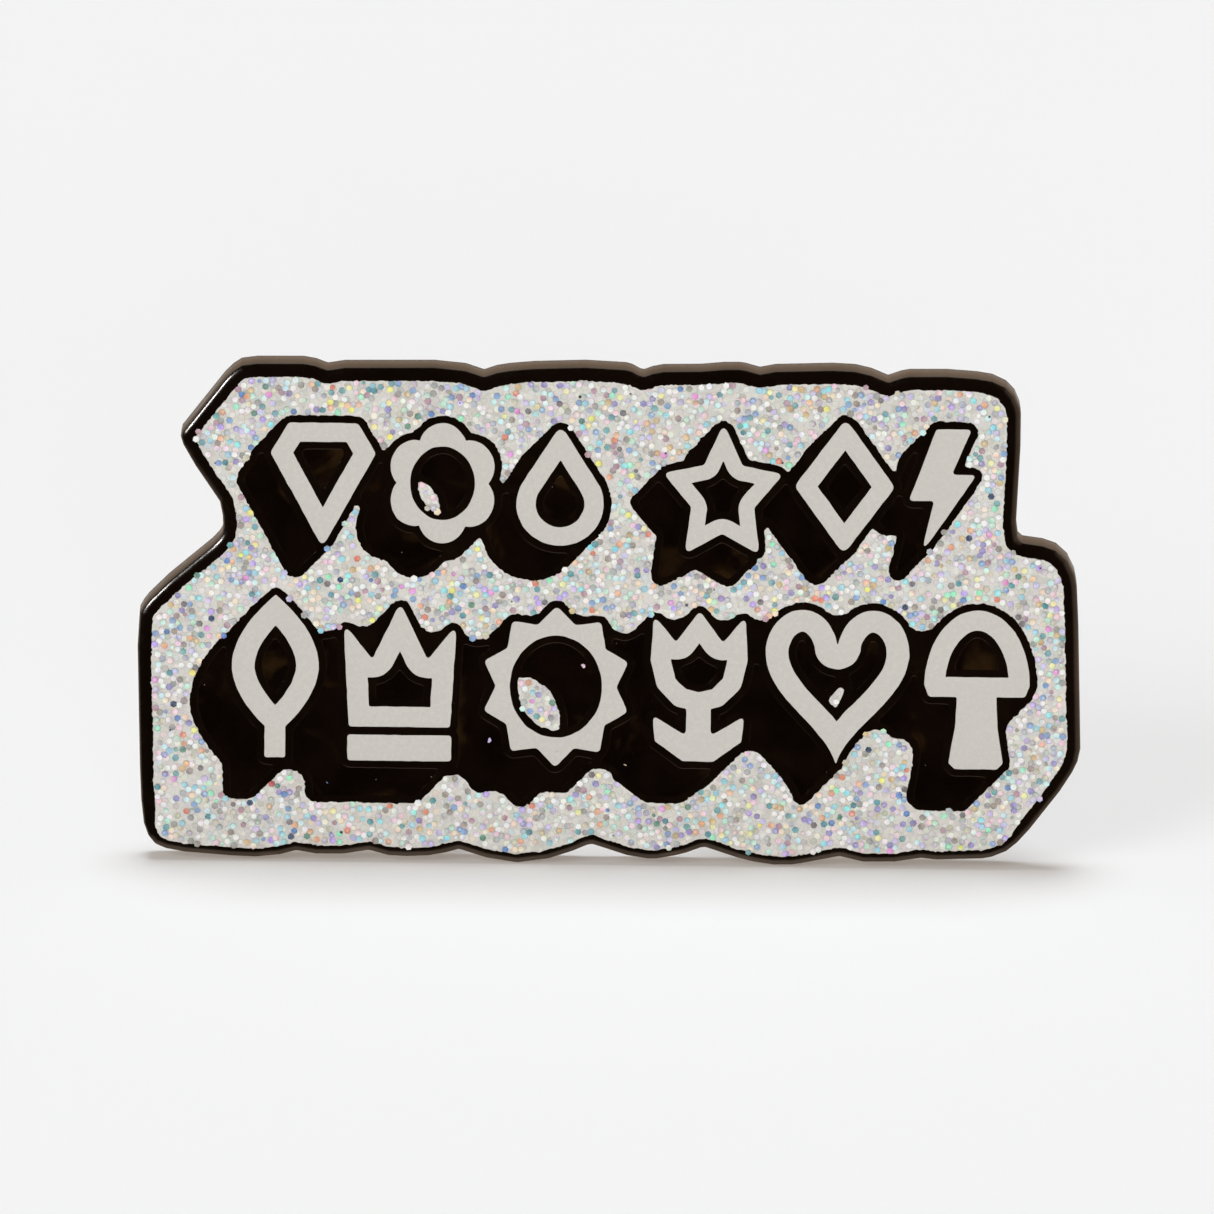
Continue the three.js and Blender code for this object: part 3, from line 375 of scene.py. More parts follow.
rough_a = ragged(G.shape, 2.3, 3) * 0.019 + ragged(G.shape, 8.0, 4) * 0.010
rough_b = ragged(G.shape, 7.0, 5) * 0.007
WHITE = [regions(G0, g + rough_b, 0.2) for g in glyphs]
POOLS = regions(G0, opened(np.maximum(U, DAM_W - G), 0.09) + rough_b, 0.3)
rim = RIM_W - 0.13 * np.clip((-8.3 - (G0.z0 + np.arange(G0.nz) * G0.step)) / 0.8, 0, 1)[:, None]
GLITTER = regions(G0, opened(np.maximum(D + rim, DAM_W - U), 0.10) + rough_a, 0.20)
outline = clean(G0.contours(D)[0])
if area(outline) < 0:
    outline = outline[::-1]


# ------------------------------------------------------------- mesh of a relief
def triangulate(loops, marks, loose=(), loose_mark=0.0, blocking=None):
    """Delaunay of closed loops; returns points, marks, triangles and for each triangle its patch between blocking loops"""
    pts, edges, mk, block = [], [], [], set()
    for k, L in enumerate(loops):
        n0, n = len(pts), len(L)
        pts += [Vector((float(x), float(z))) for x, z in L]
        mk += [marks[k]] * n
        for i in range(n):
            if blocking is None or blocking[k]:
                block.add(len(edges))
            edges.append((n0 + i, n0 + (i + 1) % n))
    for x, z in loose:
        pts.append(Vector((float(x), float(z))))
        mk.append(loose_mark)
    v, e, f, ov, oe, _ = delaunay_2d_cdt(pts, edges, [], 0, 1e-7)
    P = np.array([[q.x, q.y] for q in v])
    M = np.array([mk[o[0]] if o else np.nan for o in ov], float)
    wall = {tuple(sorted(e[i])) for i, o in enumerate(oe) if any(x in block for x in o)}
    T = np.array([t for t in f if len(t) == 3], int)
    owner, nb = {}, [[] for _ in T]
    for t, (a, b, c) in enumerate(T.tolist()):
        for q in ((a, b), (b, c), (c, a)):
            q = (min(q), max(q))
            if q in owner:
                if q not in wall:
                    nb[t].append(owner[q])
                    nb[owner[q]].append(t)
            else:
                owner[q] = t
    patch = np.full(len(T), -1)
    k = 0
    for s in range(len(T)):
        if patch[s] >= 0:
            continue
        stack = [s]
        patch[s] = k
        while stack:
            t = stack.pop()
            for u in nb[t]:
                if patch[u] < 0:
                    patch[u] = k
                    stack.append(u)
        k += 1
    return P, M, T, patch


def tri_area(P, T):
    a, b, c = P[T[:, 0]], P[T[:, 1]], P[T[:, 2]]
    return 0.5 * ((b[:, 0] - a[:, 0]) * (c[:, 1] - a[:, 1]) - (b[:, 1] - a[:, 1]) * (c[:, 0] - a[:, 0]))


def keep_patches(P, T, patch, test):
    """keeps the patches whose largest triangle's centre passes test(points)->bool array"""
    ar = np.abs(tri_area(P, T))
    ok = np.zeros(len(T), bool)
    order = np.argsort(-ar)
    first = {}
    for t in order:
        first.setdefault(int(patch[t]), int(t))
    reps = np.array([first[k] for k in sorted(first)])
    res = test(P[T[reps]].mean(1))
    good = {k for k, r in zip(sorted(first), res) if r}
    for t in range(len(T)):
        ok[t] = int(patch[t]) in good
    return T[ok]


class Body:
    """collects triangles and quads of one piece, in mm (x, height over the back, z)"""
    def __init__(self):
        self.v, self.f, self.m = [], [], []
        self.n = 0

    def add(self, verts, faces, mat=0):
        self.v.append(np.asarray(verts, float))
        self.f += [tuple(int(i) + self.n for i in f) for f in faces]
        self.m += [mat] * len(faces)
        self.n += len(verts)

    def flat(self, P, T, h, up=True, mat=0):
        """a triangulated surface; h is a number or one per point; up faces the front"""
        used = np.unique(T)
        idx = np.full(len(P), -1)
        idx[used] = np.arange(len(used))
        hh = np.broadcast_to(np.asarray(h, float), (len(P),))[used]
        ar = tri_area(P, T)
        T = np.where((ar > 0)[:, None] == bool(up), T, T[:, ::-1])
        self.add(np.c_[P[used, 0], hh, P[used, 1]], idx[T], mat)

    def wall(self, L, h0, h1, outward=True, mat=0):
        """a wall along a loop from height h0 to h1; outward: normals point to the right of the loop's run"""
        n = len(L)
        v = np.vstack([np.c_[L[:, 0], np.full(n, h0), L[:, 1]], np.c_[L[:, 0], np.full(n, h1), L[:, 1]]])
        i = np.arange(n)
        j = (i + 1) % n
        q = np.c_[i, j, j + n, i + n] if outward else np.c_[j, i, i + n, j + n]
        self.add(v, q, mat)

    def make(self, name, materials, smooth=35, seed_attr=None):
        v = np.vstack(self.v) * MM
        v = np.c_[v[:, 0], -v[:, 1], v[:, 2]]         # heights over the back run towards -Y
        me = bpy.data.meshes.new(name)
        me.from_pydata(v.tolist(), [], self.f)
        for m in materials:
            me.materials.append(m)
        me.polygons.foreach_set("material_index", np.array(self.m, np.int32))
        ob = bpy.data.objects.new(name, me)
        bpy.context.scene.collection.objects.link(ob)
        import bmesh
        bm = bmesh.new()
        bm.from_mesh(me)
        bmesh.ops.remove_doubles(bm, verts=bm.verts, dist=2e-7)
        bmesh.ops.dissolve_degenerate(bm, edges=bm.edges, dist=1e-8)
        bm.to_mesh(me)
        bm.free()
        me.polygons.foreach_set("use_smooth", np.ones(len(me.polygons), bool))
        me.set_sharp_from_angle(angle=math.radians(smooth))
        me.update()
        return ob


def flip_outward(ob):
    import bmesh
    bm = bmesh.new()
    bm.from_mesh(ob.data)
    bmesh.ops.recalc_face_normals(bm, faces=bm.faces)
    bm.to_mesh(ob.data)
    bm.free()



def border(T):
    """ordered loops of the directed border edges of a triangle set"""
    E = {}
    for a, b, c in T.tolist():
        for q in ((a, b), (b, c), (c, a)):
            if (q[1], q[0]) in E:
                del E[(q[1], q[0])]
            else:
                E[q] = 1
    nxt = {}
    for a, b in E:
        nxt.setdefault(a, []).append(b)
    loops = []
    while nxt:
        s = next(iter(nxt))
        loop, k = [], s
        while k in nxt:
            loop.append(k)
            n = nxt[k].pop()
            if not nxt[k]:
                del nxt[k]
            k = n
            if k == s:
                break
        loops.append(loop)
    return [L for L in loops if len(L) > 2]


def orient(P, T):
    ar = tri_area(P, T)
    T = T[np.abs(ar) > 1e-9]
    ar = tri_area(P, T)
    return np.where((ar > 0)[:, None], T, T[:, ::-1])


def fill_flat(body, loops, h, mat=0):
    """a flat facet inside loops (each an array of x, z)"""
    P, M, T, patch = triangulate(loops, [0.0] * len(loops))
    def test(c):
        return np.array([sum(inside(p, L) for L in loops) % 2 == 1 for p in c])
    T = orient(P, keep_patches(P, T, patch, test))
    body.flat(P, T, h, True, mat)


def rise(d, w, e):
    """height lost at distance d from an edge that is rounded w wide and e deep"""
    q = np.clip(1 - d / w, 0, 1)
    return e * (1 - np.sqrt(1 - q * q))


# ------------------------------------------------------------------- materials
def new_material(name):
    m = bpy.data.materials.new(name)
    m.use_nodes = True
    nt = m.node_tree
    nt.nodes.clear()
    out = nt.nodes.new("ShaderNodeOutputMaterial")
    b = nt.nodes.new("ShaderNodeBsdfPrincipled")
    nt.links.new(b.outputs[0], out.inputs[0])
    return m, nt, b


def node(nt, kind, **kw):
    n = nt.nodes.new(kind)
    for k, v in kw.items():
        if k.startswith("i_"):
            n.inputs[k[2:].replace("_", " ")].default_value = v
        else:
            setattr(n, k, v)
    return n


def coords(nt):
    return node(nt, "ShaderNodeTexCoord").outputs["Object"]


def noise(nt, co, scale, detail=3.0, rough=0.5, distortion=0.0):
    n = node(nt, "ShaderNodeTexNoise")
    n.inputs["Scale"].default_value = scale
    n.inputs["Detail"].default_value = detail
    n.inputs["Roughness"].default_value = rough
    n.inputs["Distortion"].default_value = distortion
    nt.links.new(co, n.inputs["Vector"])
    return n.outputs["Fac"]


def ramp(nt, fac, stops, kind="LINEAR"):
    r = node(nt, "ShaderNodeValToRGB")
    r.color_ramp.interpolation = kind
    e = r.color_ramp.elements
    while len(e) > 1:
        e.remove(e[-1])
    e[0].position, e[0].color = stops[0][0], (*stops[0][1], 1) if len(stops[0][1]) == 3 else stops[0][1]
    for p, c in stops[1:]:
        x = e.new(p)
        x.color = (*c, 1) if len(c) == 3 else c
    nt.links.new(fac, r.inputs["Fac"])
    return r.outputs["Color"]


def maprange(nt, v, a, b, c, d, smooth=False):
    n = node(nt, "ShaderNodeMapRange")
    if smooth:
        n.interpolation_type = "SMOOTHSTEP"
    for k, x in zip(("From Min", "From Max", "To Min", "To Max"), (a, b, c, d)):
        n.inputs[k].default_value = x
    nt.links.new(v, n.inputs["Value"])
    return n.outputs["Result"]


def mix(nt, fac, a, b, mode="MIX"):
    n = node(nt, "ShaderNodeMix", data_type="RGBA", blend_type=mode)
    for s, v in ((0, fac), (6, a), (7, b)):
        if isinstance(v, (int, float)):
            n.inputs[s].default_value = v
        elif isinstance(v, tuple):
            n.inputs[s].default_value = (*v, 1)
        else:
            nt.links.new(v, n.inputs[s])
    return n.outputs[2]


def math_node(nt, op, a, b=None):
    n = node(nt, "ShaderNodeMath", operation=op)
    for s, v in ((0, a), (1, b)):
        if v is None:
            continue
        if isinstance(v, (int, float)):
            n.inputs[s].default_value = v
        else:
            nt.links.new(v, n.inputs[s])
    return n.outputs[0]


def bump(nt, b, height, strength, distance):
    n = node(nt, "ShaderNodeBump")
    n.inputs["Strength"].default_value = strength
    n.inputs["Distance"].default_value = distance
    nt.links.new(height, n.inputs["Height"])
    nt.links.new(n.outputs["Normal"], b.inputs["Normal"])
    return n


def voronoi(nt, co, scale, feature="F1", out="Distance", rand=1.0):
    v = node(nt, "ShaderNodeTexVoronoi", feature=feature)
    v.inputs["Scale"].default_value = scale
    v.inputs["Randomness"].default_value = rand
    nt.links.new(co, v.inputs["Vector"])
    return v.outputs[out]


def edge_wear(nt, lo, hi):
    g = node(nt, "ShaderNodeNewGeometry")
    return maprange(nt, g.outputs["Pointiness"], lo, hi, 0.0, 1.0, True)


def black_nickel():
    m, nt, b = new_material("black_nickel_polished")
    co = coords(nt)
    b.inputs["Metallic"].default_value = 1.0
    broad = noise(nt, co, 350, 4)
    fine = noise(nt, co, 5200, 3, 0.6)
    wear = edge_wear(nt, 0.515, 0.60)
    tint = mix(nt, maprange(nt, broad, 0.35, 0.65, 0, 1, True), (0.108, 0.084, 0.066), (0.140, 0.110, 0.087))
    b.inputs["Specular Tint"].default_value = (0.68, 0.59, 0.52, 1)
    nt.links.new(mix(nt, math_node(nt, "MULTIPLY", wear, 0.30), tint, (0.26, 0.185, 0.135)), b.inputs["Base Color"])
    nt.links.new(math_node(nt, "ADD", maprange(nt, fine, 0.3, 0.7, 0.13, 0.24), math_node(nt, "MULTIPLY", broad, 0.06)), b.inputs["Roughness"])
    # plating grain and long hair scratches from polishing
    st = node(nt, "ShaderNodeMapping")
    st.inputs["Rotation"].default_value = (0, 0.7, 0)
    st.inputs["Scale"].default_value = (260, 900, 5200)
    nt.links.new(co, st.inputs["Vector"])
    hair = noise(nt, st.outputs["Vector"], 1.0, 2)
    bump(nt, b, math_node(nt, "ADD", math_node(nt, "MULTIPLY", fine, 0.6), math_node(nt, "MULTIPLY", hair, 0.4)), 0.16, 0.00003)
    return m


def black_nickel_back():
    m, nt, b = new_material("black_nickel_sandblasted")
    co = coords(nt)
    b.inputs["Metallic"].default_value = 1.0
    broad = noise(nt, co, 210, 4)
    grit = voronoi(nt, co, 7600, "SMOOTH_F1")
    fine = noise(nt, co, 9000, 2, 0.6)
    nt.links.new(mix(nt, maprange(nt, broad, 0.35, 0.66, 0, 1, True), (0.12, 0.102, 0.09), (0.19, 0.162, 0.138)), b.inputs["Base Color"])
    nt.links.new(maprange(nt, broad, 0.3, 0.7, 0.34, 0.47), b.inputs["Roughness"])
    bump(nt, b, math_node(nt, "ADD", math_node(nt, "MULTIPLY", grit, 0.8), math_node(nt, "MULTIPLY", fine, 0.3)), 0.55, 0.00005)
    return m


def white_enamel():
    m, nt, b = new_material("white_enamel")
    co = coords(nt)
    broad = noise(nt, co, 420, 4)
    fine = noise(nt, co, 5200, 4, 0.62)
    col = mix(nt, maprange(nt, broad, 0.33, 0.67, 0, 1, True), (0.629, 0.611, 0.572), (0.636, 0.618, 0.578))
    dots = maprange(nt, voronoi(nt, co, 900), 0.035, 0.06, 1.0, 0.0)
    gate = maprange(nt, noise(nt, co, 700, 1), 0.60, 0.66, 0, 1)
    col = mix(nt, math_node(nt, "MULTIPLY", math_node(nt, "MULTIPLY", dots, gate), 0.75), col, (0.26, 0.245, 0.23))
    nt.links.new(col, b.inputs["Base Color"])
    nt.links.new(maprange(nt, fine, 0.3, 0.7, 0.24, 0.30), b.inputs["Roughness"])
    b.inputs["IOR"].default_value = 1.5
    b.inputs["Coat Weight"].default_value = 0.15
    b.inputs["Coat Roughness"].default_value = 0.12
    bump(nt, b, math_node(nt, "ADD", math_node(nt, "MULTIPLY", fine, 0.03), math_node(nt, "MULTIPLY", broad, 0.6)), 0.05, 0.00004)
    return m


def black_enamel():
    m, nt, b = new_material("black_enamel")
    co = coords(nt)
    broad = noise(nt, co, 500, 3)
    fine = noise(nt, co, 6000, 3, 0.6)
    col = mix(nt, maprange(nt, broad, 0.35, 0.65, 0, 1, True), (0.0016, 0.0008, 0.0006), (0.0042, 0.0020, 0.0012))
    # painted reflection: soft brown sheen patches mixed into the black colour
    painted_brown_sheen = maprange(nt, noise(nt, co, 330, 3, 0.55, 0.6), 0.54, 0.70, 0.0, 1.0, True)
    col = mix(nt, math_node(nt, "MULTIPLY", painted_brown_sheen, 0.80), col, (0.024, 0.0120, 0.0040))
    # dust: few tiny pale specks
    spot = maprange(nt, voronoi(nt, co, 2300), 0.03, 0.06, 1.0, 0.0)
    gate = maprange(nt, noise(nt, co, 1500, 0), 0.64, 0.68, 0, 1)
    col = mix(nt, math_node(nt, "MULTIPLY", math_node(nt, "MULTIPLY", spot, gate), 0.6), col, (0.40, 0.38, 0.36))
    nt.links.new(col, b.inputs["Base Color"])
    nt.links.new(maprange(nt, fine, 0.3, 0.7, 0.10, 0.20), b.inputs["Roughness"])
    b.inputs["IOR"].default_value = 1.5
    b.inputs["Specular Tint"].default_value = (0.84, 0.56, 0.36, 1)
    bump(nt, b, math_node(nt, "ADD", math_node(nt, "MULTIPLY", fine, 0.35), broad), 0.14, 0.00004)
    return m


def glitter_resin():
    """pale bed; faint outlines of flakes deeper in it"""
    m, nt, b = new_material("glitter_resin")
    co = coords(nt)
    cell = node(nt, "ShaderNodeTexVoronoi")
    cell.inputs["Scale"].default_value = 4100
    nt.links.new(co, cell.inputs["Vector"])
    sep = node(nt, "ShaderNodeSeparateColor")
    nt.links.new(cell.outputs["Color"], sep.inputs[0])
    col = ramp(nt, sep.outputs[0], [(0.0, (0.66, 0.645, 0.60)), (0.15, (0.725, 0.71, 0.665)), (0.60, (0.745, 0.73, 0.685)), (0.80, (0.71, 0.715, 0.695)), (0.88, (0.74, 0.71, 0.69)),
                                    (0.94, (0.79, 0.78, 0.74))], "CONSTANT")
    edge = maprange(nt, voronoi(nt, co, 4100, "DISTANCE_TO_EDGE"), 0.0, 0.07, 0.90, 1.0)
    cloud = maprange(nt, noise(nt, co, 600, 3), 0.3, 0.7, 0.93, 1.05)
    dark = node(nt, "ShaderNodeMix", data_type="RGBA", blend_type="MULTIPLY")
    dark.inputs[0].default_value = 1.0
    nt.links.new(col, dark.inputs[6])
    nt.links.new(math_node(nt, "MULTIPLY", edge, cloud), dark.inputs[7])
    nt.links.new(dark.outputs[2], b.inputs["Base Color"])
    nt.links.new(maprange(nt, sep.outputs[1], 0, 1, 0.22, 0.42), b.inputs["Roughness"])
    bump(nt, b, math_node(nt, "ADD", math_node(nt, "MULTIPLY", sep.outputs[2], 0.4), noise(nt, co, 2600, 3)), 0.30, 0.00002)
    return m


def glitter_flake():
    m, nt, b = new_material("glitter_flake")
    co = coords(nt)
    at = node(nt, "ShaderNodeAttribute", attribute_name="flake_colour")
    gr = noise(nt, co, 9000, 3, 0.6)
    col = mix(nt, maprange(nt, gr, 0.3, 0.7, 0.0, 0.16), at.outputs["Color"], (0.95, 0.95, 0.93))
    nt.links.new(col, b.inputs["Base Color"])
    nt.links.new(maprange(nt, gr, 0.3, 0.7, 0.20, 0.36), b.inputs["Roughness"])
    b.inputs["Coat Weight"].default_value = 0.30
    b.inputs["Coat Roughness"].default_value = 0.08
    bump(nt, b, noise(nt, co, 3500, 2), 0.25, 0.00002)
    return m


def nickel(name="bright_nickel", tone=(0.66, 0.635, 0.60), rough=(0.13, 0.26)):
    m, nt, b = new_material(name)
    co = coords(nt)
    b.inputs["Metallic"].default_value = 1.0
    broad = noise(nt, co, 380, 4)
    fine = noise(nt, co, 4200, 3, 0.6)
    wear = edge_wear(nt, 0.52, 0.62)
    dull = tuple(0.78 * c for c in tone)
    c = mix(nt, maprange(nt, broad, 0.36, 0.66, 0, 1, True), tone, dull)
    c = mix(nt, math_node(nt, "MULTIPLY", wear, 0.4), c, (0.80, 0.78, 0.74))
    nt.links.new(c, b.inputs["Base Color"])
    nt.links.new(math_node(nt, "ADD", maprange(nt, fine, 0.3, 0.7, *rough), math_node(nt, "MULTIPLY", broad, 0.08)), b.inputs["Roughness"])
    st = node(nt, "ShaderNodeMapping")
    st.inputs["Scale"].default_value = (5200, 5200, 420)
    nt.links.new(co, st.inputs["Vector"])
    drawn = noise(nt, st.outputs["Vector"], 1.0, 2)
    bump(nt, b, math_node(nt, "ADD", math_node(nt, "MULTIPLY", fine, 0.4), math_node(nt, "MULTIPLY", drawn, 0.6)), 0.12, 0.00003)
    return m


def solder_metal():
    m, nt, b = new_material("solder")
    co = coords(nt)
    b.inputs["Metallic"].default_value = 1.0
    lumps = noise(nt, co, 1700, 4, 0.55)
    fine = noise(nt, co, 8000, 3, 0.6)
    flux = maprange(nt, noise(nt, co, 900, 3), 0.55, 0.68, 0, 1, True)
    c = mix(nt, maprange(nt, lumps, 0.35, 0.65, 0, 1), (0.44, 0.43, 0.42), (0.56, 0.55, 0.53))
    nt.links.new(mix(nt, math_node(nt, "MULTIPLY", flux, 0.4), c, (0.20, 0.15, 0.09)), b.inputs["Base Color"])
    nt.links.new(maprange(nt, fine, 0.3, 0.7, 0.30, 0.52), b.inputs["Roughness"])
    bump(nt, b, math_node(nt, "ADD", lumps, math_node(nt, "MULTIPLY", fine, 0.3)), 0.45, 0.00008)
    return m


MAT = {"metal": black_nickel(), "back": black_nickel_back(), "white": white_enamel(), "black": black_enamel(), "resin": glitter_resin(),
       "flake": glitter_flake(), "nickel": nickel(), "spring": nickel("spring_nickel", (0.62, 0.60, 0.565), (0.16, 0.30)), "solder": solder_metal()}

# ------------------------------------------------------------------ base plate
cell_regions = [r for w in WHITE for r in w] + POOLS + GLITTER
cell_loops = [L for r in cell_regions for L in r]
CELL = G0.sdf(cell_loops)                       # negative in a cell
OUT = G0.sdf([outline])                         # negative inside the outline

body = Body()
loops, marks, blocking = [outline] + cell_loops, [100.0] + [0.0] * len(cell_loops), [True] * (1 + len(cell_loops))
for d in (0.012, 0.03, 0.055, 0.09, 0.14, 0.20, 0.27, EDGE_W, 0.45):
    for L in G0.contours(OUT, -d):
        loops.append(clean(L, 0.0035, 0.4)); marks.append(100 + d); blocking.append(False)
for d in (0.012, 0.035, DAM_R):
    for L in G0.contours(CELL, d):
        if np.all(np.abs(G0.sample(OUT, L)) > 0.2):
            L = clean(L, 0.0035, 0.4)
            if abs(area(L)) > 0.01:
                loops.append(L); marks.append(d); blocking.append(False)
P, M, T, patch = triangulate(loops, marks, blocking=blocking)
do, dc = -G0.sample(OUT, P), G0.sample(CELL, P)
d_out = np.where(M >= 100, M - 100, np.where(np.isnan(M), np.clip(do, 0, 9), 9.0))
d_cell = np.where(M < 100, M, np.where(np.isnan(M), np.clip(dc, 0, 9), 9.0))
H = PLATE_T - rise(np.nan_to_num(d_out, nan=9.0), EDGE_W, EDGE_D) - rise(np.nan_to_num(d_cell, nan=9.0), DAM_R, DAM_E) - CROWN * np.clip(1 - np.clip(do, 0, 9) / RIM_W, 0, 1) ** 2
metal = orient(P, keep_patches(P, T, patch, lambda c: (G0.sample(OUT, c) < 0) & (G0.sample(CELL, c) > 0)))
floors = orient(P, keep_patches(P, T, patch, lambda c: (G0.sample(OUT, c) < 0) & (G0.sample(CELL, c) <= 0)))
body.flat(P, metal, H, True, 0)
body.flat(P, floors, FLOOR_H, True, 0)
BACK_R = 0.12
side_loops = []
for L in border(metal):
    q = P[L]
    n = len(L)
    if np.all(M[L] == 100):                     # the outer edge
        lo = np.full(n, BACK_R)
        side_loops.append(q)
    else:
        lo = np.full(n, FLOOR_H)
    i = np.arange(n)
    j = (i + 1) % n
    v = np.vstack([np.c_[q[:, 0], H[L], q[:, 1]], np.c_[q[:, 0], lo, q[:, 1]]])
    body.add(v, np.c_[i, i + n, j + n, j], 0)
bl, bm_, bb = list(side_loops), [0.0] * len(side_loops), [True] * len(side_loops)
for d in (0.02, 0.06, BACK_R):
    for L in G0.contours(OUT, -d):
        bl.append(clean(L, 0.0035, 0.6)); bm_.append(d); bb.append(False)
P2, M2, T2, patch2 = triangulate(bl, bm_, blocking=bb)
T2 = orient(P2, keep_patches(P2, T2, patch2, lambda c: G0.sample(OUT, c) < 0))
d2 = np.where(np.isnan(M2), np.clip(-G0.sample(OUT, P2), 0, 9), M2)
body.flat(P2, T2, rise(d2, BACK_R, BACK_R), False, 1)
plate = body.make("plate_body", [MAT["metal"], MAT["back"]], 40)
flip_outward(plate)
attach(plate, "pin")
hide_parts("base_plate")
print("plate", len(plate.data.polygons))

# --------------------------------------------------------------- enamel fills
def local_grid(loops, step, pad=0.4):
    a = np.vstack(loops)
    lo, hi = a.min(0) - pad, a.max(0) + pad
    return Grid(lo[0], lo[1], hi[0], hi[1], step)


def fill_body(name, loops, mat, base, lip, reach, levels, step=0.03, most=0.5, lumps=0.0):
    g = local_grid(loops, step)
    f = g.sdf(loops, 1.2)
    ls, mk, bk = list(loops), [0.0] * len(loops), [True] * len(loops)
    for d in levels:
        for L in g.contours(f, -d):
            L = clean(L, 0.003, most)
            if abs(area(L)) > 0.004:
                ls.append(L); mk.append(d); bk.append(False)
    P, M, T, patch = triangulate(ls, mk, blocking=bk)
    T = orient(P, keep_patches(P, T, patch, lambda c: g.sample(f, c) < 0))
    d = np.where(np.isnan(M), np.clip(-g.sample(f, P), 0, 9), M)
    h = base + (lip - base) * np.exp(-d / reach)
    if lumps:
        h = h + lumps * np.sin(P[:, 0] * 2.3 + 1.1) * np.sin(P[:, 1] * 2.9 + 0.4) * np.clip(d / 0.3, 0, 1)
    b = Body()
    b.flat(P, T, h, True)
    under = []
    for L in border(T):
        q, n = P[L], len(L)
        i = np.arange(n)
        j = (i + 1) % n
        b.add(np.vstack([np.c_[q[:, 0], h[L], q[:, 1]], np.c_[q[:, 0], np.full(n, FLOOR_H - 0.002), q[:, 1]]]), np.c_[i, i + n, j + n, j])
        under.append(q)
    fill_flat(b, under, FLOOR_H - 0.002)
    ob = b.make(name, [mat], 60)
    flip_outward(ob)
    return ob


def centre(loop):
    return (loop.min(0) + loop.max(0)) / 2


def cad_centres(names):
    out = {}
    for n in names:
        lo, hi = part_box(n)
        out[n] = (np.array([(lo[0] + hi[0]) / 2, (lo[2] + hi[2]) / 2]) / MM, np.array([hi[0] - lo[0], hi[2] - lo[2]]) / MM)
    return out


def pair(regs, names):
    """each region with the CAD node that has the nearest box"""
    C = cad_centres(names)
    pairs, left = {}, dict(C)
    cost = []
    for i, r in enumerate(regs):
        c, s = centre(r[0]), r[0].max(0) - r[0].min(0)
        for n, (cc, ss) in C.items():
            cost.append((float(np.abs(c - cc).sum() + 0.5 * np.abs(s - ss).sum()), i, n))
    used = set()
    for v, i, n in sorted(cost):
        if i in used or n not in left:
            continue
        used.add(i)
        pairs[i] = n
        del left[n]
        if v > 0.5:
            print("PAIR far", n, round(v, 2))
    if left or len(used) < len(regs):
        print("PAIR unmatched", left, [i for i in range(len(regs)) if i not in used])
    return pairs


all_nodes = list(NODES)
white_names = [n for n in all_nodes if n.startswith("enamel_")]
pool_names = sorted(n for n in all_nodes if n.startswith("shadow_enamel_"))
glit_names = sorted(n for n in all_nodes if n.startswith("glitter_"))
flat_white = [r for w in WHITE for r in w]
for regs, names, mat, slot, base, lip, reach, levels in (
        (flat_white, white_names, "white", "white_enamel", 1.273, 1.286, 0.08, (0.025, 0.06, 0.11, 0.18, 0.27)),
        (POOLS, pool_names, "black", "black_enamel", 1.272, 1.278, 0.14, (0.02, 0.05, 0.09, 0.15, 0.24)),
        (GLITTER, glit_names, "resin", "glitter_enamel", 1.262, 1.276, 0.06, (0.03, 0.08, 0.15))):
    for i, n in pair(regs, names).items():
        ob = fill_body(n + "_fill", regs[i], MAT[mat], base, lip, reach, levels, lumps=0.004 if mat == "white" else 0.006 if mat == "black" else 0.0)
        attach(ob, "pin")
        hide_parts(n)

# --------------------------------------------------------------------- flakes
def srgb(c):
    c = np.array(c, float) / 255
    return np.where(c <= 0.04045, c / 12.92, ((c + 0.055) / 1.055) ** 2.4)


SUNK = [((226, 224, 217), 0.28), ((232, 230, 223), 0.18), ((215, 213, 206), 0.18), ((200, 198, 193), 0.11), ((212, 220, 223), 0.08), ((223, 214, 217), 0.07), ((214, 222, 214), 0.05), ((229, 218, 200), 0.05)]
PALETTE = [((255, 255, 252), 0.14), ((150, 236, 248), 0.018), ((250, 244, 130), 0.010), ((160, 246, 204), 0.012), ((255, 196, 164), 0.014), ((196, 170, 250), 0.014), ((240, 160, 232), 0.005), ((236, 238, 235), 0.095), ((210, 244, 250), 0.075), ((160, 214, 230), 0.05), ((134, 168, 212), 0.045), ((156, 148, 202), 0.040), ((206, 198, 236), 0.075),
           ((246, 212, 224), 0.060), ((184, 148, 164), 0.032), ((255, 228, 206), 0.060), ((230, 172, 136), 0.02), ((210, 186, 138), 0.026), ((252, 246, 176), 0.022), ((196, 232, 216), 0.05),
           ((116, 170, 176), 0.032), ((98, 148, 130), 0.007), ((162, 152, 146), 0.040), ((122, 117, 122), 0.012), ((26, 62, 104), 0.004), ((226, 138, 112), 0.011), ((84, 150, 162), 0.010), ((94, 138, 200), 0.010), ((232, 152, 218), 0.008), ((196, 80, 80), 0.001),
           ((184, 188, 188), 0.050), ((200, 194, 202), 0.040), ((178, 184, 198), 0.034), ((206, 202, 182), 0.034), ((164, 164, 160), 0.034)]


def picker(table, spread):
    cs = np.array([srgb(c) for c, _ in table])
    ps = np.array([p for _, p in table])
    ps = ps / ps.sum()
    return lambda n: np.clip(cs[RNG.choice(len(cs), n, p=ps)] * RNG.normal(1.0, spread, (n, 1)) * RNG.normal(1.0, 0.03, (n, 3)), 0.003, 0.98)


bright, sunk = picker(PALETTE, 0.07), picker(SUNK, 0.04)
FG = G0.sdf([L for r in GLITTER for L in r])


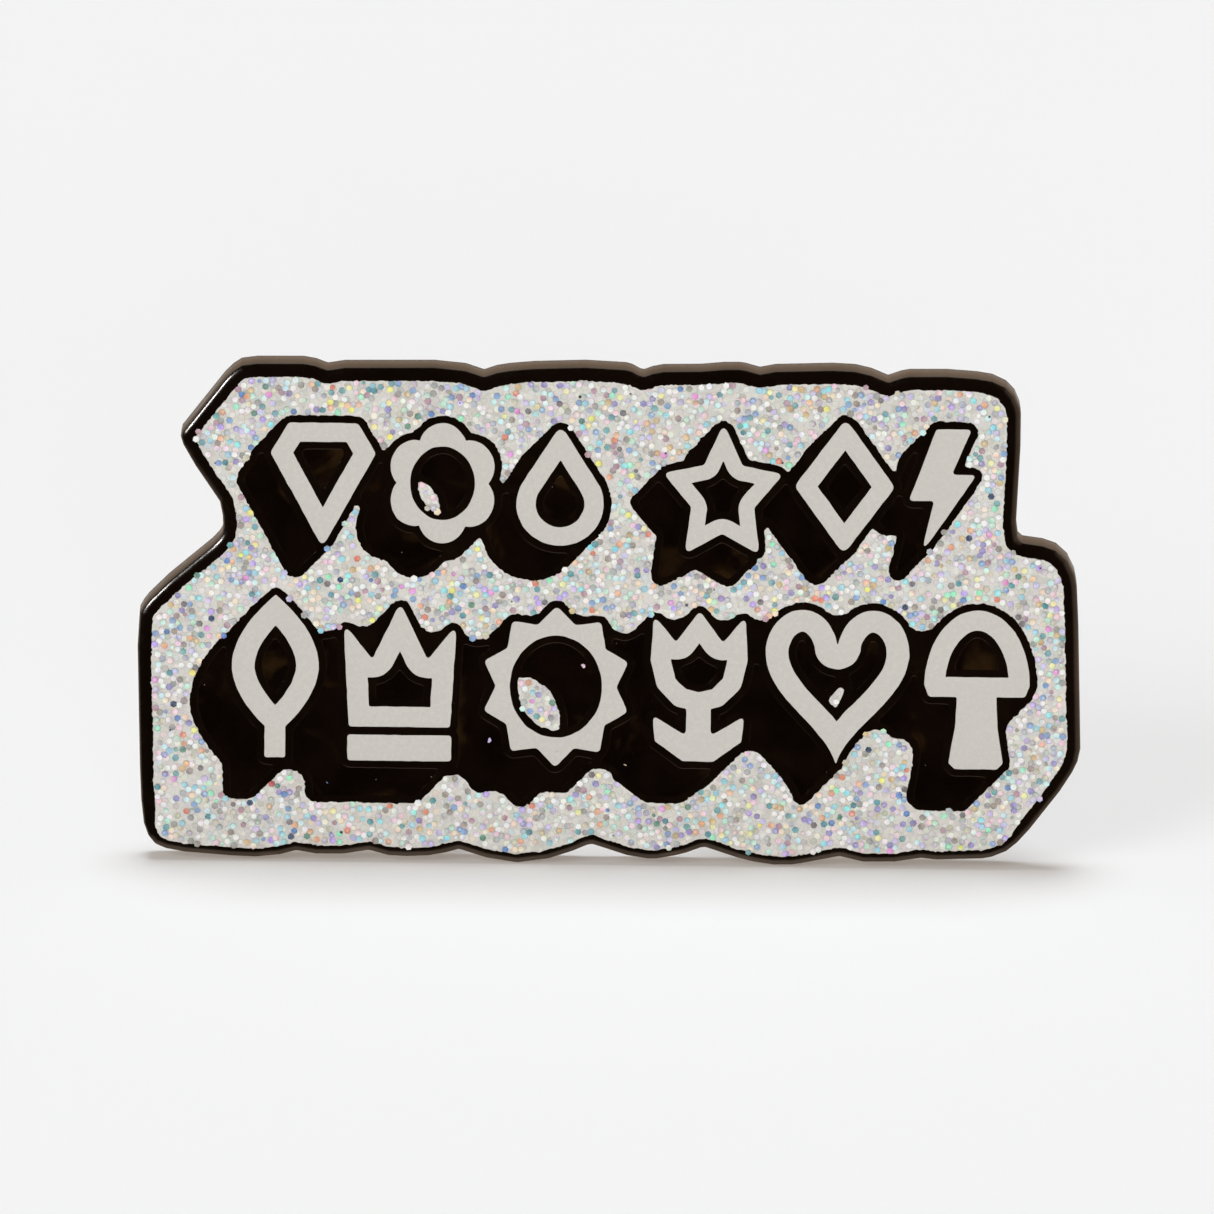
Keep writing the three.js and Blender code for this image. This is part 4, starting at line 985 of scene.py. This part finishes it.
def darts(n, radius, test):
    """blue-noise points: none nearer than radius"""
    c = np.c_[RNG.uniform(-19.3, 19.3, n), RNG.uniform(-10.6, 10.6, n)]
    c = c[test(c)]
    cell = radius
    grid, out = {}, []
    r2 = radius * radius
    for x, z in c.tolist():
        i, j = int(x // cell), int(z // cell)
        ok = True
        for a in range(i - 1, i + 2):
            for b in range(j - 1, j + 2):
                for (u, v) in grid.get((a, b), ()):
                    if (u - x) ** 2 + (v - z) ** 2 < r2:
                        ok = False
                        break
                if not ok:
                    break
            if not ok:
                break
        if ok:
            grid.setdefault((i, j), []).append((x, z))
            out.append((x, z))
    return np.array(out)


def flakes(name, at, h, tilt, size, colour, thick=0.010, painted_rim_shade=0.80, painted_sheen=0.16, inner_r=0.89):
    """thin hexagonal flakes; each has a darker rim, sides and underside that are painted shade, and a painted sheen
    that lightens and shifts its colour across it
    """
    n = len(at)
    rot = RNG.uniform(0, math.pi / 3, n)
    ta = RNG.uniform(0, 2 * math.pi, n)
    k = np.arange(6) * math.pi / 3
    R = (size / math.sqrt(3))[:, None]
    u = R * np.cos(rot[:, None] + k)
    w = R * np.sin(rot[:, None] + k)
    slope = np.tan(tilt)
    ca, sa = np.cos(ta)[:, None], np.sin(ta)[:, None]
    def ring(q, dh):
        return np.stack([at[:, :1] + u * q, h[:, None] + slope[:, None] * q * (u * ca + w * sa) + dh, at[:, 1:] + w * q], -1)
    V = np.concatenate([ring(inner_r, thick / 2), ring(1.0, thick / 2 - 0.002), ring(1.0, -thick / 2)], 1).reshape(-1, 3) * MM
    V[:, 1] *= -1
    one = [(0, 1, 2, 3, 4, 5), (17, 16, 15, 14, 13, 12)]
    for i in range(6):
        j = (i + 1) % 6
        one += [(i, 6 + i, 6 + j, j), (6 + i, 12 + i, 12 + j, 6 + j)]
    faces = [tuple(q + x for x in f) for q in range(0, 18 * n, 18) for f in one]
    me = bpy.data.meshes.new(name)
    me.from_pydata(V.tolist(), [], faces)
    # painted sheen: one side of each flake lighter, the other darker, with its hue shifted
    turn = RNG.uniform(0, 2 * math.pi, n)[:, None]
    g = np.cos(rot[:, None] + k - turn)[..., None]                # -1 .. 1 across the flake
    hue = RNG.normal(0, 1, (n, 1, 3)) * painted_sheen * 0.45
    c = colour[:, None, :]
    inner = np.clip(c * (1 + g * (painted_sheen * 0.8 + hue)), 0.003, 0.99)
    # painted shade: the rim ring darkens the face colour by a factor
    outer = np.clip(inner * painted_rim_shade, 0.003, 0.99)
    # per face corner, so that the painted shade on the outline is crisp; the sides and underside get more painted shade
    tone = [[inner[:, v] for v in range(6)], [outer[:, v - 12] * 0.8 for v in (17, 16, 15, 14, 13, 12)]]
    for i in range(6):
        j = (i + 1) % 6
        tone += [[outer[:, i], outer[:, i], outer[:, j], outer[:, j]], [outer[:, i] * 0.8] * 2 + [outer[:, j] * 0.8] * 2]
    cc = np.stack([c for f in tone for c in f], 1).reshape(-1, 3)
    a = me.color_attributes.new("flake_colour", "FLOAT_COLOR", "CORNER")
    a.data.foreach_set("color", np.c_[cc, np.ones(len(cc))].astype(np.float32).ravel())
    me.materials.append(MAT["flake"])
    me.update()
    ob = bpy.data.objects.new(name, me)
    bpy.context.scene.collection.objects.link(ob)
    flip_outward(ob)
    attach(ob, "pin")
    return ob


def tilts(n, common, odd_share=0.08):
    t = np.abs(RNG.normal(0, math.radians(common), n))
    odd = RNG.random(n) < odd_share
    t[odd] = RNG.uniform(math.radians(5), math.radians(12), odd.sum())
    return t


# low ones, sunk in the resin so that little more than their outlines, darkened with painted shade, show
low = darts(70000, 0.235, lambda c: G0.sample(FG, c) < -0.10)
low = low[RNG.random(len(low)) < 0.85]
n = len(low)
flakes("glitter_flakes_sunk", low, np.full(n, 1.2585) + 0.004 * RNG.random(n), np.abs(RNG.normal(0, math.radians(0.6), n)), RNG.normal(0.26, 0.012, n), sunk(n), 0.010, 0.60, 0.04, 0.91)
# bright ones on top
bed = darts(110000, 0.215, lambda c: G0.sample(FG, c) < -0.085)
bed = bed[RNG.random(len(bed)) < 0.72]
n = len(bed)
near = G0.sample(FG, bed) > -0.16
size = np.where(RNG.random(n) < 0.9, RNG.normal(0.243, 0.008, n), RNG.uniform(0.14, 0.22, n))
bed_h, bed_c = 1.272 + 0.018 * RNG.random(n) + np.where(near, 0.008, 0), bright(n)
flakes("glitter_flakes", bed, bed_h, tilts(n, 2.0), size, bed_c, 0.010, 0.70, 0.22)
# painted glints: a small lighter flake laid on many light flakes as a bright core
core = (RNG.random(n) < 0.45) & (size > 0.22) & (bed_c.mean(1) > 0.40)
m = int(core.sum())
turn = RNG.uniform(0, 2 * math.pi, m)
shift = RNG.uniform(0.0, 0.05, m)
flakes("glitter_glints", bed[core] + np.c_[shift * np.cos(turn), shift * np.sin(turn)], bed_h[core] + 0.009, np.abs(RNG.normal(0, math.radians(1.0), m)), RNG.uniform(0.07, 0.135, m),
       np.clip(bed_c[core] * RNG.normal(1.0, 0.12, (m, 3)) * 0.72 + 0.28, 0, 0.98), 0.006, 0.96, 0.12)
# pits and dark specks in the resin
pits = darts(3000, 0.9, lambda c: G0.sample(FG, c) < -0.15)
pits = pits[RNG.random(len(pits)) < 0.10]
n = len(pits)
flakes("glitter_specks", pits, np.full(n, 1.296), tilts(n, 3), RNG.uniform(0.05, 0.12, n), np.tile([[0.012, 0.012, 0.016]], (n, 1)), 0.008, 0.9, 0.1)

# flakes that settled over the dams' edges, and a few strays on the black
edge = darts(9000, 0.28, lambda c: (G0.sample(FG, c) > -0.06) & (G0.sample(FG, c) < 0.05) & (G0.sample(OUT, c) < -0.40))
edge = edge[RNG.random(len(edge)) < 0.12]
n = len(edge)
flakes("glitter_spill", edge, np.full(n, 1.306), np.abs(RNG.normal(0, math.radians(3), n)), RNG.normal(0.25, 0.02, n), bright(n), 0.010, 0.82, 0.2)
stray = darts(60, 1.2, lambda c: ((G0.sample(FG, c) > 0.18) & (G0.sample(OUT, c) < -0.8) & (G0.sample(CELL, c) > 0.10)) | ((G0.sample(U, c) < -0.3) & (G0.sample(G, c) > 0.45) & (G0.sample(CELL, c) < -0.2)))[:9]
n = len(stray)
hs = np.where(G0.sample(CELL, stray) < 0, 1.268, 1.306)
flakes("glitter_strays", stray, hs, np.abs(RNG.normal(0, math.radians(2), n)), RNG.uniform(0.10, 0.24, n), bright(n) * 0.8, 0.010, 0.82, 0.2)

# ------------------------------------------------------- posts, solder, clutches
def lathe(name, profile, seg, centre_x, y0, mat, wobble=None):
    """profile: (radius, y) pairs, closed or ending on the axis at both ends"""
    pr = np.array(profile, float)
    closed = np.allclose(pr[0], pr[-1])
    if closed:
        pr = pr[:-1]
    n = len(pr)
    V, F, rows = [], [], []
    for r, y in pr:
        if r < 1e-6:
            rows.append([len(V)])
            V.append((centre_x, y0 + y, 0.0))
        else:
            row = []
            for k in range(seg):
                t = 2 * math.pi * k / seg
                rr, yy = (r, y) if wobble is None else wobble(r, y, t)
                row.append(len(V))
                V.append((centre_x + rr * math.cos(t), y0 + yy, rr * math.sin(t)))
            rows.append(row)
    m = n if closed else n - 1
    for a in range(m):
        A, B = rows[a], rows[(a + 1) % n]
        for k in range(seg):
            j = (k + 1) % seg
            if len(A) == 1 and len(B) == 1:
                break
            if len(A) == 1:
                F.append((A[0], B[k], B[j]))
            elif len(B) == 1:
                F.append((A[k], A[j], B[0]))
            else:
                F.append((A[k], A[j], B[j], B[k]))
    return mesh_object(name, np.array(V), F, mat)


def mesh_object(name, V, F, mat, smooth=38):
    me = bpy.data.meshes.new(name)
    me.from_pydata((np.asarray(V) * MM).tolist(), [], [tuple(map(int, f)) for f in F])
    me.materials.append(mat)
    ob = bpy.data.objects.new(name, me)
    bpy.context.scene.collection.objects.link(ob)
    import bmesh
    bm = bmesh.new()
    bm.from_mesh(me)
    bmesh.ops.remove_doubles(bm, verts=bm.verts, dist=2e-7)
    bmesh.ops.recalc_face_normals(bm, faces=bm.faces)
    bm.to_mesh(me)
    bm.free()
    me.polygons.foreach_set("use_smooth", np.ones(len(me.polygons), bool))
    me.set_sharp_from_angle(angle=math.radians(smooth))
    me.update()
    return ob


def smooth_profile(pts, r=0.06, closed=False):
    """rounds the corners of a profile"""
    pts = [np.array(p, float) for p in pts]
    out = []
    n = len(pts)
    for i, p in enumerate(pts):
        if not closed and i in (0, n - 1):
            out.append(p)
            continue
        a, b = pts[i - 1], pts[(i + 1) % n]
        u, v = a - p, b - p
        lu, lv = math.hypot(*u), math.hypot(*v)
        t = min(r, 0.45 * lu, 0.45 * lv)
        s, e = p + u / lu * t, p + v / lv * t
        for k in range(5):
            q = k / 4
            out.append((1 - q) ** 2 * s + 2 * q * (1 - q) * p + q * q * e)
    return out


SADDLE_H = SHEET + 0.06 + SHEET / 2
LOW_H, HIGH_H = 1.32, 2.25
FOLD_LOW = (3.70, (SADDLE_H + LOW_H) / 2)
FOLD_HIGH = (-3.35, (SADDLE_H + HIGH_H) / 2)
GAP = 6.0


def arc(cx, cz, r, a0, a1, n):
    t = np.radians(a0 + (a1 - a0) * np.arange(n + 1) / n)
    return np.c_[cx + r * np.cos(t), cz + r * np.sin(t)]


def sheet_metal(name, line, field, box, t, mat, cx, y0, round_r=0.07, step=0.05, s_step=0.22):
    """line: centre line (w, h); field: sdf over (x, s); box: x0, s0, x1, s1. The sheet is bent along the line."""
    g = Grid(box[0], box[1], box[2], box[3], step)
    X, S = np.meshgrid(g.x0 + np.arange(g.nx) * step, g.z0 + np.arange(g.nz) * step)
    f = field(X, S)
    base = [clean(L, 0.004, 0.3) for L in g.contours(f)]
    base = [L for L in base if abs(area(L)) > 0.05]
    F = g.sdf(base, 1.0)
    ls, mk, bk = list(base), [0.0] * len(base), [True] * len(base)
    for d in (round_r * 0.3, round_r):
        for L in g.contours(F, -d):
            ls.append(clean(L, 0.004, 0.3)); mk.append(d); bk.append(False)
    # rows of points so that the sheet bends smoothly
    loose = [(x, s) for s in np.arange(box[1], box[3], s_step) for x in np.arange(box[0], box[2], 0.5)]
    lp = np.array(loose)
    lp = lp[g.sample(F, lp) < -(round_r + 0.06)]
    P, M, T, patch = triangulate(ls, mk, loose=lp.tolist(), loose_mark=9.0, blocking=bk)
    T = orient(P, keep_patches(P, T, patch, lambda c: g.sample(F, c) < 0))
    d = np.where(np.isnan(M), np.clip(-g.sample(F, P), 0, 9), M)
    off = t / 2 - rise(d, round_r, round_r)
    # centre line by arc length, with smooth normals
    seg = np.hypot(*np.diff(line, axis=0).T)
    cum = np.r_[0, np.cumsum(seg)]
    s = np.clip(P[:, 1], 0, cum[-1])
    tang = np.gradient(line, cum, axis=0)
    tang /= np.hypot(tang[:, 0], tang[:, 1])[:, None]
    cw, ch = np.interp(s, cum, line[:, 0]), np.interp(s, cum, line[:, 1])
    tw, th = np.interp(s, cum, tang[:, 0]), np.interp(s, cum, tang[:, 1])
    ln = np.hypot(tw, th)
    nw, nh = -th / ln, tw / ln
    def at(o):
        return np.c_[cx + P[:, 0], y0 + ch + nh * o, cw + nw * o]
    A, B = at(off), at(-off)
    nP = len(P)
    used = np.unique(T)
    F_ = [tuple(q) for q in T.tolist()] + [(a + nP, c + nP, b + nP) for a, b, c in T.tolist()]
    for L in border(T):
        for a, b in zip(L, L[1:] + L[:1]):
            F_.append((a, a + nP, b + nP, b))
    idx = np.full(2 * nP, -1)
    keepv = np.r_[used, used + nP]
    idx[keepv] = np.arange(len(keepv))
    V = np.vstack([A, B])[keepv]
    return mesh_object(name, V, [tuple(idx[list(q)]) for q in F_], mat)


def resample(line, step):
    seg = np.hypot(*np.diff(line, axis=0).T)
    cum = np.r_[0, np.cumsum(seg)]
    n = max(2, int(cum[-1] / step))
    s = np.linspace(0, cum[-1], n + 1)
    return np.c_[np.interp(s, cum, line[:, 0]), np.interp(s, cum, line[:, 1])], cum[-1]


def arm_line(side, fold_c, fold_r, arm_h, bend_w):
    up, R = 62.0, 0.55
    fold = arc(fold_c, (SADDLE_H + arm_h) / 2, fold_r, GAP, 90, 14)
    bend = arc(bend_w, arm_h + R, R, 270, 270 - up, 12)
    last, a = bend[-1], math.radians(180 - up)
    tip_h = 6.75
    L1 = (tip_h - 0.9 - last[1]) / math.sin(a)
    p1 = last + L1 * np.array([math.cos(a), math.sin(a)])
    lip = p1 + np.array([-0.62, 0.75])
    tip = np.array([lip[0] - 0.5, tip_h + 0.1])
    tail = np.array(smooth_profile([last + 0.5 * (p1 - last), p1, lip, tip], 0.5))
    flat = np.linspace(fold[-1], bend[0], 16)[1:-1]
    rise_ = np.linspace(last, last + 0.5 * (p1 - last), 8)[1:-1]
    line = np.vstack([fold, flat, bend, rise_, tail])
    return line * np.array([side, 1.0])


def poly_field(X, S, loops, band=6.0):
    """signed distance of loops on the points X, S"""
    f = np.full(X.shape, band)
    par = np.zeros(X.shape, int)
    for L in loops:
        for (ax, az), (bx, bz) in zip(L, np.roll(L, -1, 0)):
            dx, dz = bx - ax, bz - az
            q = dx * dx + dz * dz + 1e-18
            t = np.clip(((X - ax) * dx + (S - az) * dz) / q, 0, 1)
            f = np.minimum(f, np.hypot(X - ax - t * dx, S - az - t * dz))
            c = (az > S) != (bz > S)
            if bz != az:
                par += c & (X < (bx - ax) * (S - az) / (bz - az) + ax)
    return np.where(par % 2 == 1, -f, f)


def smooth_widths(pts, step=0.09):
    """half widths given at some lengths up the sheet, joined by a smooth curve that doesn't overshoot"""
    w, s = np.array(pts, float).T
    h = np.diff(s)
    d = np.diff(w) / h
    m = np.r_[d[0], np.zeros(len(s) - 2), d[-1]]
    for i in range(1, len(s) - 1):
        if d[i - 1] * d[i] > 0:
            a, b = 2 * h[i] + h[i - 1], h[i] + 2 * h[i - 1]
            m[i] = (a + b) / (a / d[i - 1] + b / d[i])
    out = []
    for i in range(len(h)):
        n = max(1, math.ceil(math.hypot(h[i], w[i + 1] - w[i]) / step))
        for k in range(n):
            q = k / n
            out.append(((2 * q ** 3 - 3 * q * q + 1) * w[i] + (q ** 3 - 2 * q * q + q) * h[i] * m[i]
                        + (3 * q * q - 2 * q ** 3) * w[i + 1] + (q ** 3 - q * q) * h[i] * m[i + 1], s[i] + q * h[i]))
    return out + [(w[-1], s[-1])]


def arm(name, side, line, half_by_h, flat_h, flat_half, hole_w, hole_r, window, neck, mat, cx, y0):
    """half_by_h: (h, half width) up the ear; window: (w0, w1, half) or None; neck: (w, half) from which the arm is narrower"""
    seg = np.hypot(*np.diff(line, axis=0).T)
    cum = np.r_[0, np.cumsum(seg)]
    ws = line[:, 0] * side                        # drawn for the ear at -w
    on_flat = np.abs(line[:, 1] - flat_h) < 1e-6
    s_flat0, s_flat1 = cum[on_flat][0], cum[on_flat][-1]
    w_flat0 = ws[on_flat][0]
    s_of_w = lambda w: s_flat0 + (w_flat0 - w)
    up = cum >= s_flat1
    s_of_h = lambda h: float(np.interp(h, line[up, 1], cum[up]))
    half = [(flat_half, 0.0)]
    if neck:
        half += [(flat_half, s_of_w(neck[0])), (neck[1], s_of_w(neck[0]) + 0.12)]
    first = len(half)
    half += smooth_widths([(hw, s_of_h(h)) for h, hw in half_by_h])
    half.append((half_by_h[-1][1] * 0.985, cum[-1]))
    left = [(-x, s) for x, s in half][::-1]
    radii = [0.05] + [0.35] * (first - 1) + [0.0] * (len(half) - first - 1) + [0.5]
    L = rounded(half + left, radii + radii[::-1])
    hole = ellipse(hole_r, hole_r, 48) + np.array([0, s_of_w(hole_w)])
    cuts = [hole]
    if window:
        a, b = s_of_w(window[0]), s_of_w(window[1])
        cuts.append(rounded([(-window[2], a), (window[2], a), (window[2], b), (-window[2], b)], 0.22))
    def field(X, S):
        f = poly_field(X, S, [L])
        for c in cuts:
            f = np.maximum(f, -poly_field(X, S, [c]))
        return f
    return sheet_metal(name, line, field, (-4.6, -0.3, 4.6, cum[-1] + 0.3), SHEET, mat, cx, y0)


def ring_wobble(seed):
    r = np.random.default_rng(seed)
    ph = r.uniform(0, 6.28, 6)
    def f(rad, y, t):
        k = (rad - 1.5) / 0.5
        w = 0.09 * math.sin(2 * t + ph[0]) + 0.06 * math.sin(3 * t + ph[1]) + 0.022 * math.sin(5 * t + ph[2]) + 0.006 * math.sin(9 * t + ph[3])
        return rad + max(0.0, k) * w, y * (1 + 0.22 * math.sin(2 * t + ph[4]) + 0.12 * math.sin(5 * t + ph[5]))
    return f


for side, sx in (("left", -1), ("right", 1)):
    cx = sx * POST_X
    post = lathe("post_pin_" + side, smooth_profile([(0, 0.03), (1.45, 0.03), (1.5, 0.1), (1.5, 0.32), (1.42, 0.40), (0.76, 0.41), (0.6, 0.56), (0.6, 6.12), (0.45, 6.28), (0.45, 6.55), (0.6, 6.72), (0.5, 7.25), (0.26, 7.82), (0.0, 7.99)], 0.05),
                 48, cx, 0, MAT["nickel"])
    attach(post, "pin"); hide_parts("post_" + side)
    sol = lathe("solder_ring_" + side, smooth_profile([(1.515, 0.015), (2.0, 0.015), (1.95, 0.06), (1.78, 0.13), (1.62, 0.22), (1.515, 0.30)], 0.05, True) + [np.array(smooth_profile([(1.515, 0.015), (2.0, 0.015), (1.95, 0.06), (1.78, 0.13), (1.62, 0.22), (1.515, 0.30)], 0.05, True)[0])],
                72, cx, 0, MAT["solder"], ring_wobble(5 + sx))
    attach(sol, "pin"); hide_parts("solder_" + side)

    r, s, hh = CAP_R, SHEET, 1.35
    prof = [(0.80, 0.02), (1.25, 0.0), (r - 0.45, 0.0), (r - 0.13, 0.13), (r, 0.45), (r, hh - 0.1), (r - 0.1, hh + 0.12), (r - 0.35, hh + 0.2), (r - 0.75, hh + 0.1),
            (r - 0.68, hh - 0.16), (r - 0.38, hh - 0.1), (r - s, hh - 0.2), (r - s, 0.55), (r - s - 0.15, s), (1.25, s), (0.95, s + 0.02)]
    sp = smooth_profile(prof, 0.09, True)
    cap = lathe("cap_" + side, sp + [sp[0]], 112, cx, CLUTCH_Y, MAT["nickel"])
    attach(cap, "clutch_cap_" + side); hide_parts("clutch_cap_" + side)

    # the saddle: a waisted disc whose two ends curl up into the folds
    high = arc(FOLD_HIGH[0], FOLD_HIGH[1], FOLD_HIGH[1] - SADDLE_H, 180 + GAP, 270, 16)
    low = arc(FOLD_LOW[0], FOLD_LOW[1], FOLD_LOW[1] - SADDLE_H, -90, -GAP, 12)
    line = np.vstack([high, np.linspace(high[-1], low[0], 30)[1:-1], low])
    cum = np.r_[0, np.cumsum(np.hypot(*np.diff(line, axis=0).T))]
    s0 = cum[16] + 3.35                            # arc length at w = 0
    disc = ellipse(5.2, 5.2, 160)
    disc = disc[np.abs(disc[:, 1]) <= 3.3] + np.array([0, s0])
    strip_loop = np.array([(-2.0, 0), (2.0, 0), (2.0, cum[-1]), (-2.0, cum[-1])])
    hole = ellipse(0.95, 0.95, 48) + np.array([0, s0])
    def field(X, S, disc=disc, strip_loop=strip_loop, hole=hole):
        return np.maximum(np.minimum(poly_field(X, S, [disc]), poly_field(X, S, [strip_loop])), -poly_field(X, S, [hole]))
    sad = sheet_metal("saddle_" + side, line, field, (-5.5, -0.3, 5.5, cum[-1] + 0.3), SHEET, MAT["spring"], cx, CLUTCH_Y)
    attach(sad, "clutch_spring_" + side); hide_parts("clutch_saddle_" + side)

    ear = [(3.05, 1.62), (3.55, 2.9), (4.3, 3.75), (5.2, 4.2), (6.0, 4.22), (6.55, 3.75)]
    ll = arm_line(1, FOLD_LOW[0], FOLD_LOW[1] - SADDLE_H, LOW_H, -1.95)
    lw = arm("wing_lower_" + side, 1, ll, [(2.6, 1.05)] + ear, LOW_H, 1.85, -0.1, 0.85, None, (-1.2, 1.05), MAT["spring"], cx, CLUTCH_Y)
    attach(lw, "wing_lower_" + side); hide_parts("clutch_wing_lower_" + side)
    hl = arm_line(-1, -FOLD_HIGH[0], FOLD_HIGH[1] - SADDLE_H, HIGH_H, -2.3)
    hw = arm("wing_upper_" + side, -1, hl, [(2.55, 2.0), (2.8, 1.5), (3.0, 1.5)] + [(3.25, 1.62)] + ear[1:], HIGH_H, 2.0, -0.1, 0.85, (3.24, 1.28, 1.3), None, MAT["spring"], cx, CLUTCH_Y)
    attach(hw, "wing_upper_" + side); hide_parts("clutch_wing_upper_" + side)

# ---------------------------------------------------------------- stage, lights
def stage_floor():
    z = cad_lo.z
    n, R = 24, 1.6
    me = bpy.data.meshes.new("floor")
    V = [(-R + 2 * R * i / n, -R + 2 * R * j / n, z) for j in range(n + 1) for i in range(n + 1)]
    F = [(j * (n + 1) + i, j * (n + 1) + i + 1, (j + 1) * (n + 1) + i + 1, (j + 1) * (n + 1) + i) for j in range(n) for i in range(n)]
    me.from_pydata(V, [], F)
    m, nt, b = new_material("floor_paper")
    co = coords(nt)
    nt.links.new(mix(nt, noise(nt, co, 30, 2), (0.662, 0.697, 0.728), (0.670, 0.705, 0.736)), b.inputs["Base Color"])
    b.inputs["Emission Color"].default_value = (1.0, 0.865, 0.745, 1)
    b.inputs["Emission Strength"].default_value = 0.25
    b.inputs["Roughness"].default_value = 0.95
    b.inputs["Specular IOR Level"].default_value = 0.0
    me.materials.append(m)
    ob = bpy.data.objects.new("floor", me)
    bpy.context.scene.collection.objects.link(ob)
    ob.visible_glossy = False


def sun(name, az, el, strength, angle, colour=(1, 1, 1)):
    """light from azimuth az (0 = from the camera's side, 90 = from +X) at elevation el"""
    L = bpy.data.lights.new(name, "SUN")
    L.energy, L.angle, L.color = strength, math.radians(angle), colour
    ob = bpy.data.objects.new(name, L)
    bpy.context.scene.collection.objects.link(ob)
    a, e = math.radians(az), math.radians(el)
    d = Vector((math.sin(a) * math.cos(e), -math.cos(a) * math.cos(e), math.sin(e)))
    ob.rotation_mode = "QUATERNION"
    ob.rotation_quaternion = d.to_track_quat("Z", "Y")
    return ob


def world():
    w = bpy.data.worlds.new("studio")
    bpy.context.scene.world = w
    w.use_nodes = True
    nt = w.node_tree
    nt.nodes.clear()
    out = nt.nodes.new("ShaderNodeOutputWorld")
    even = nt.nodes.new("ShaderNodeBackground")
    even.inputs[0].default_value = (1.0, 0.90, 0.80, 1)
    even.inputs[1].default_value = WORLD_EVEN
    tc = nt.nodes.new("ShaderNodeTexCoord")
    sp = nt.nodes.new("ShaderNodeSeparateXYZ")
    nt.links.new(tc.outputs["Generated"], sp.inputs[0])
    # what polished surfaces see: a pale paper behind, a dark room in front, some pale table far below
    gl = nt.nodes.new("ShaderNodeBackground")
    behind = maprange(nt, sp.outputs["Y"], 0.02, 0.30, 0.0, 1.0, True)
    below = maprange(nt, sp.outputs["Z"], -0.88, -0.58, 1.0, 0.0, True)
    aside = maprange(nt, sp.outputs["X"], 0.45, 0.95, 0.0, 1.0, True)
    front = mix(nt, below, mix(nt, aside, (0.034, 0.021, 0.012), (0.36, 0.32, 0.29)), (0.49, 0.46, 0.44))
    paper = ramp(nt, maprange(nt, sp.outputs["Z"], -1, 1, 0, 1), [(0.0, (0.42, 0.40, 0.38)), (0.5, (0.78, 0.77, 0.76)), (0.6, (0.88, 0.88, 0.87)), (1.0, (0.90, 0.90, 0.90))])
    nt.links.new(mix(nt, behind, front, paper), gl.inputs[0])
    gl.inputs[1].default_value = 1.0
    lp = nt.nodes.new("ShaderNodeLightPath")
    ms = nt.nodes.new("ShaderNodeMixShader")
    nt.links.new(lp.outputs["Is Glossy Ray"], ms.inputs[0])
    nt.links.new(even.outputs[0], ms.inputs[1])
    nt.links.new(gl.outputs[0], ms.inputs[2])
    nt.links.new(ms.outputs[0], out.inputs[0])


WORLD_EVEN = 0.135
stage_floor()
world()
def soft(name, az, el, strength, angle, colour):
    """a broad light that polished surfaces don't mirror"""
    sun(name, az, el, strength, angle, colour).visible_glossy = False


soft("key", -43, 30, 0.98, 36, (1.0, 0.975, 0.945))
soft("overhead", 180, 84.2, 2.06, 26, (1.0, 1.026, 1.054))
soft("front", 3, 4, 1.22, 30, (1.0, 0.985, 0.965))
strip = sun("softbox", -60, 21, 1.1, 10, (0.82, 1.0, 1.22))
strip.visible_diffuse = False

# --------------------------------------------------------------------- camera
a, roll = math.radians(17.2), math.radians(0.7)
fwd = Vector((0, math.cos(a), -math.sin(a)))
right0, up0 = Vector((1, 0, 0)), Vector((0, math.sin(a), math.cos(a)))
right = right0 * math.cos(roll) + up0 * math.sin(roll)
up = up0 * math.cos(roll) - right0 * math.sin(roll)
aim = Vector((0, -PLATE_T * MM, 0)) - right * 0.142 * MM + up * 0.430 * MM
cam = bpy.data.cameras.new("camera")
cam.lens, cam.sensor_width = 514.6, 36
cam.clip_start, cam.clip_end = 0.01, 20
co = bpy.data.objects.new("camera", cam)
bpy.context.scene.collection.objects.link(co)
loc = aim - fwd * 0.70
rot = Matrix((right, up, -fwd)).transposed()
co.matrix_world = Matrix.Translation(loc) @ rot.to_4x4()
bpy.context.scene.camera = co
bpy.context.scene.view_settings.view_transform = "Standard"
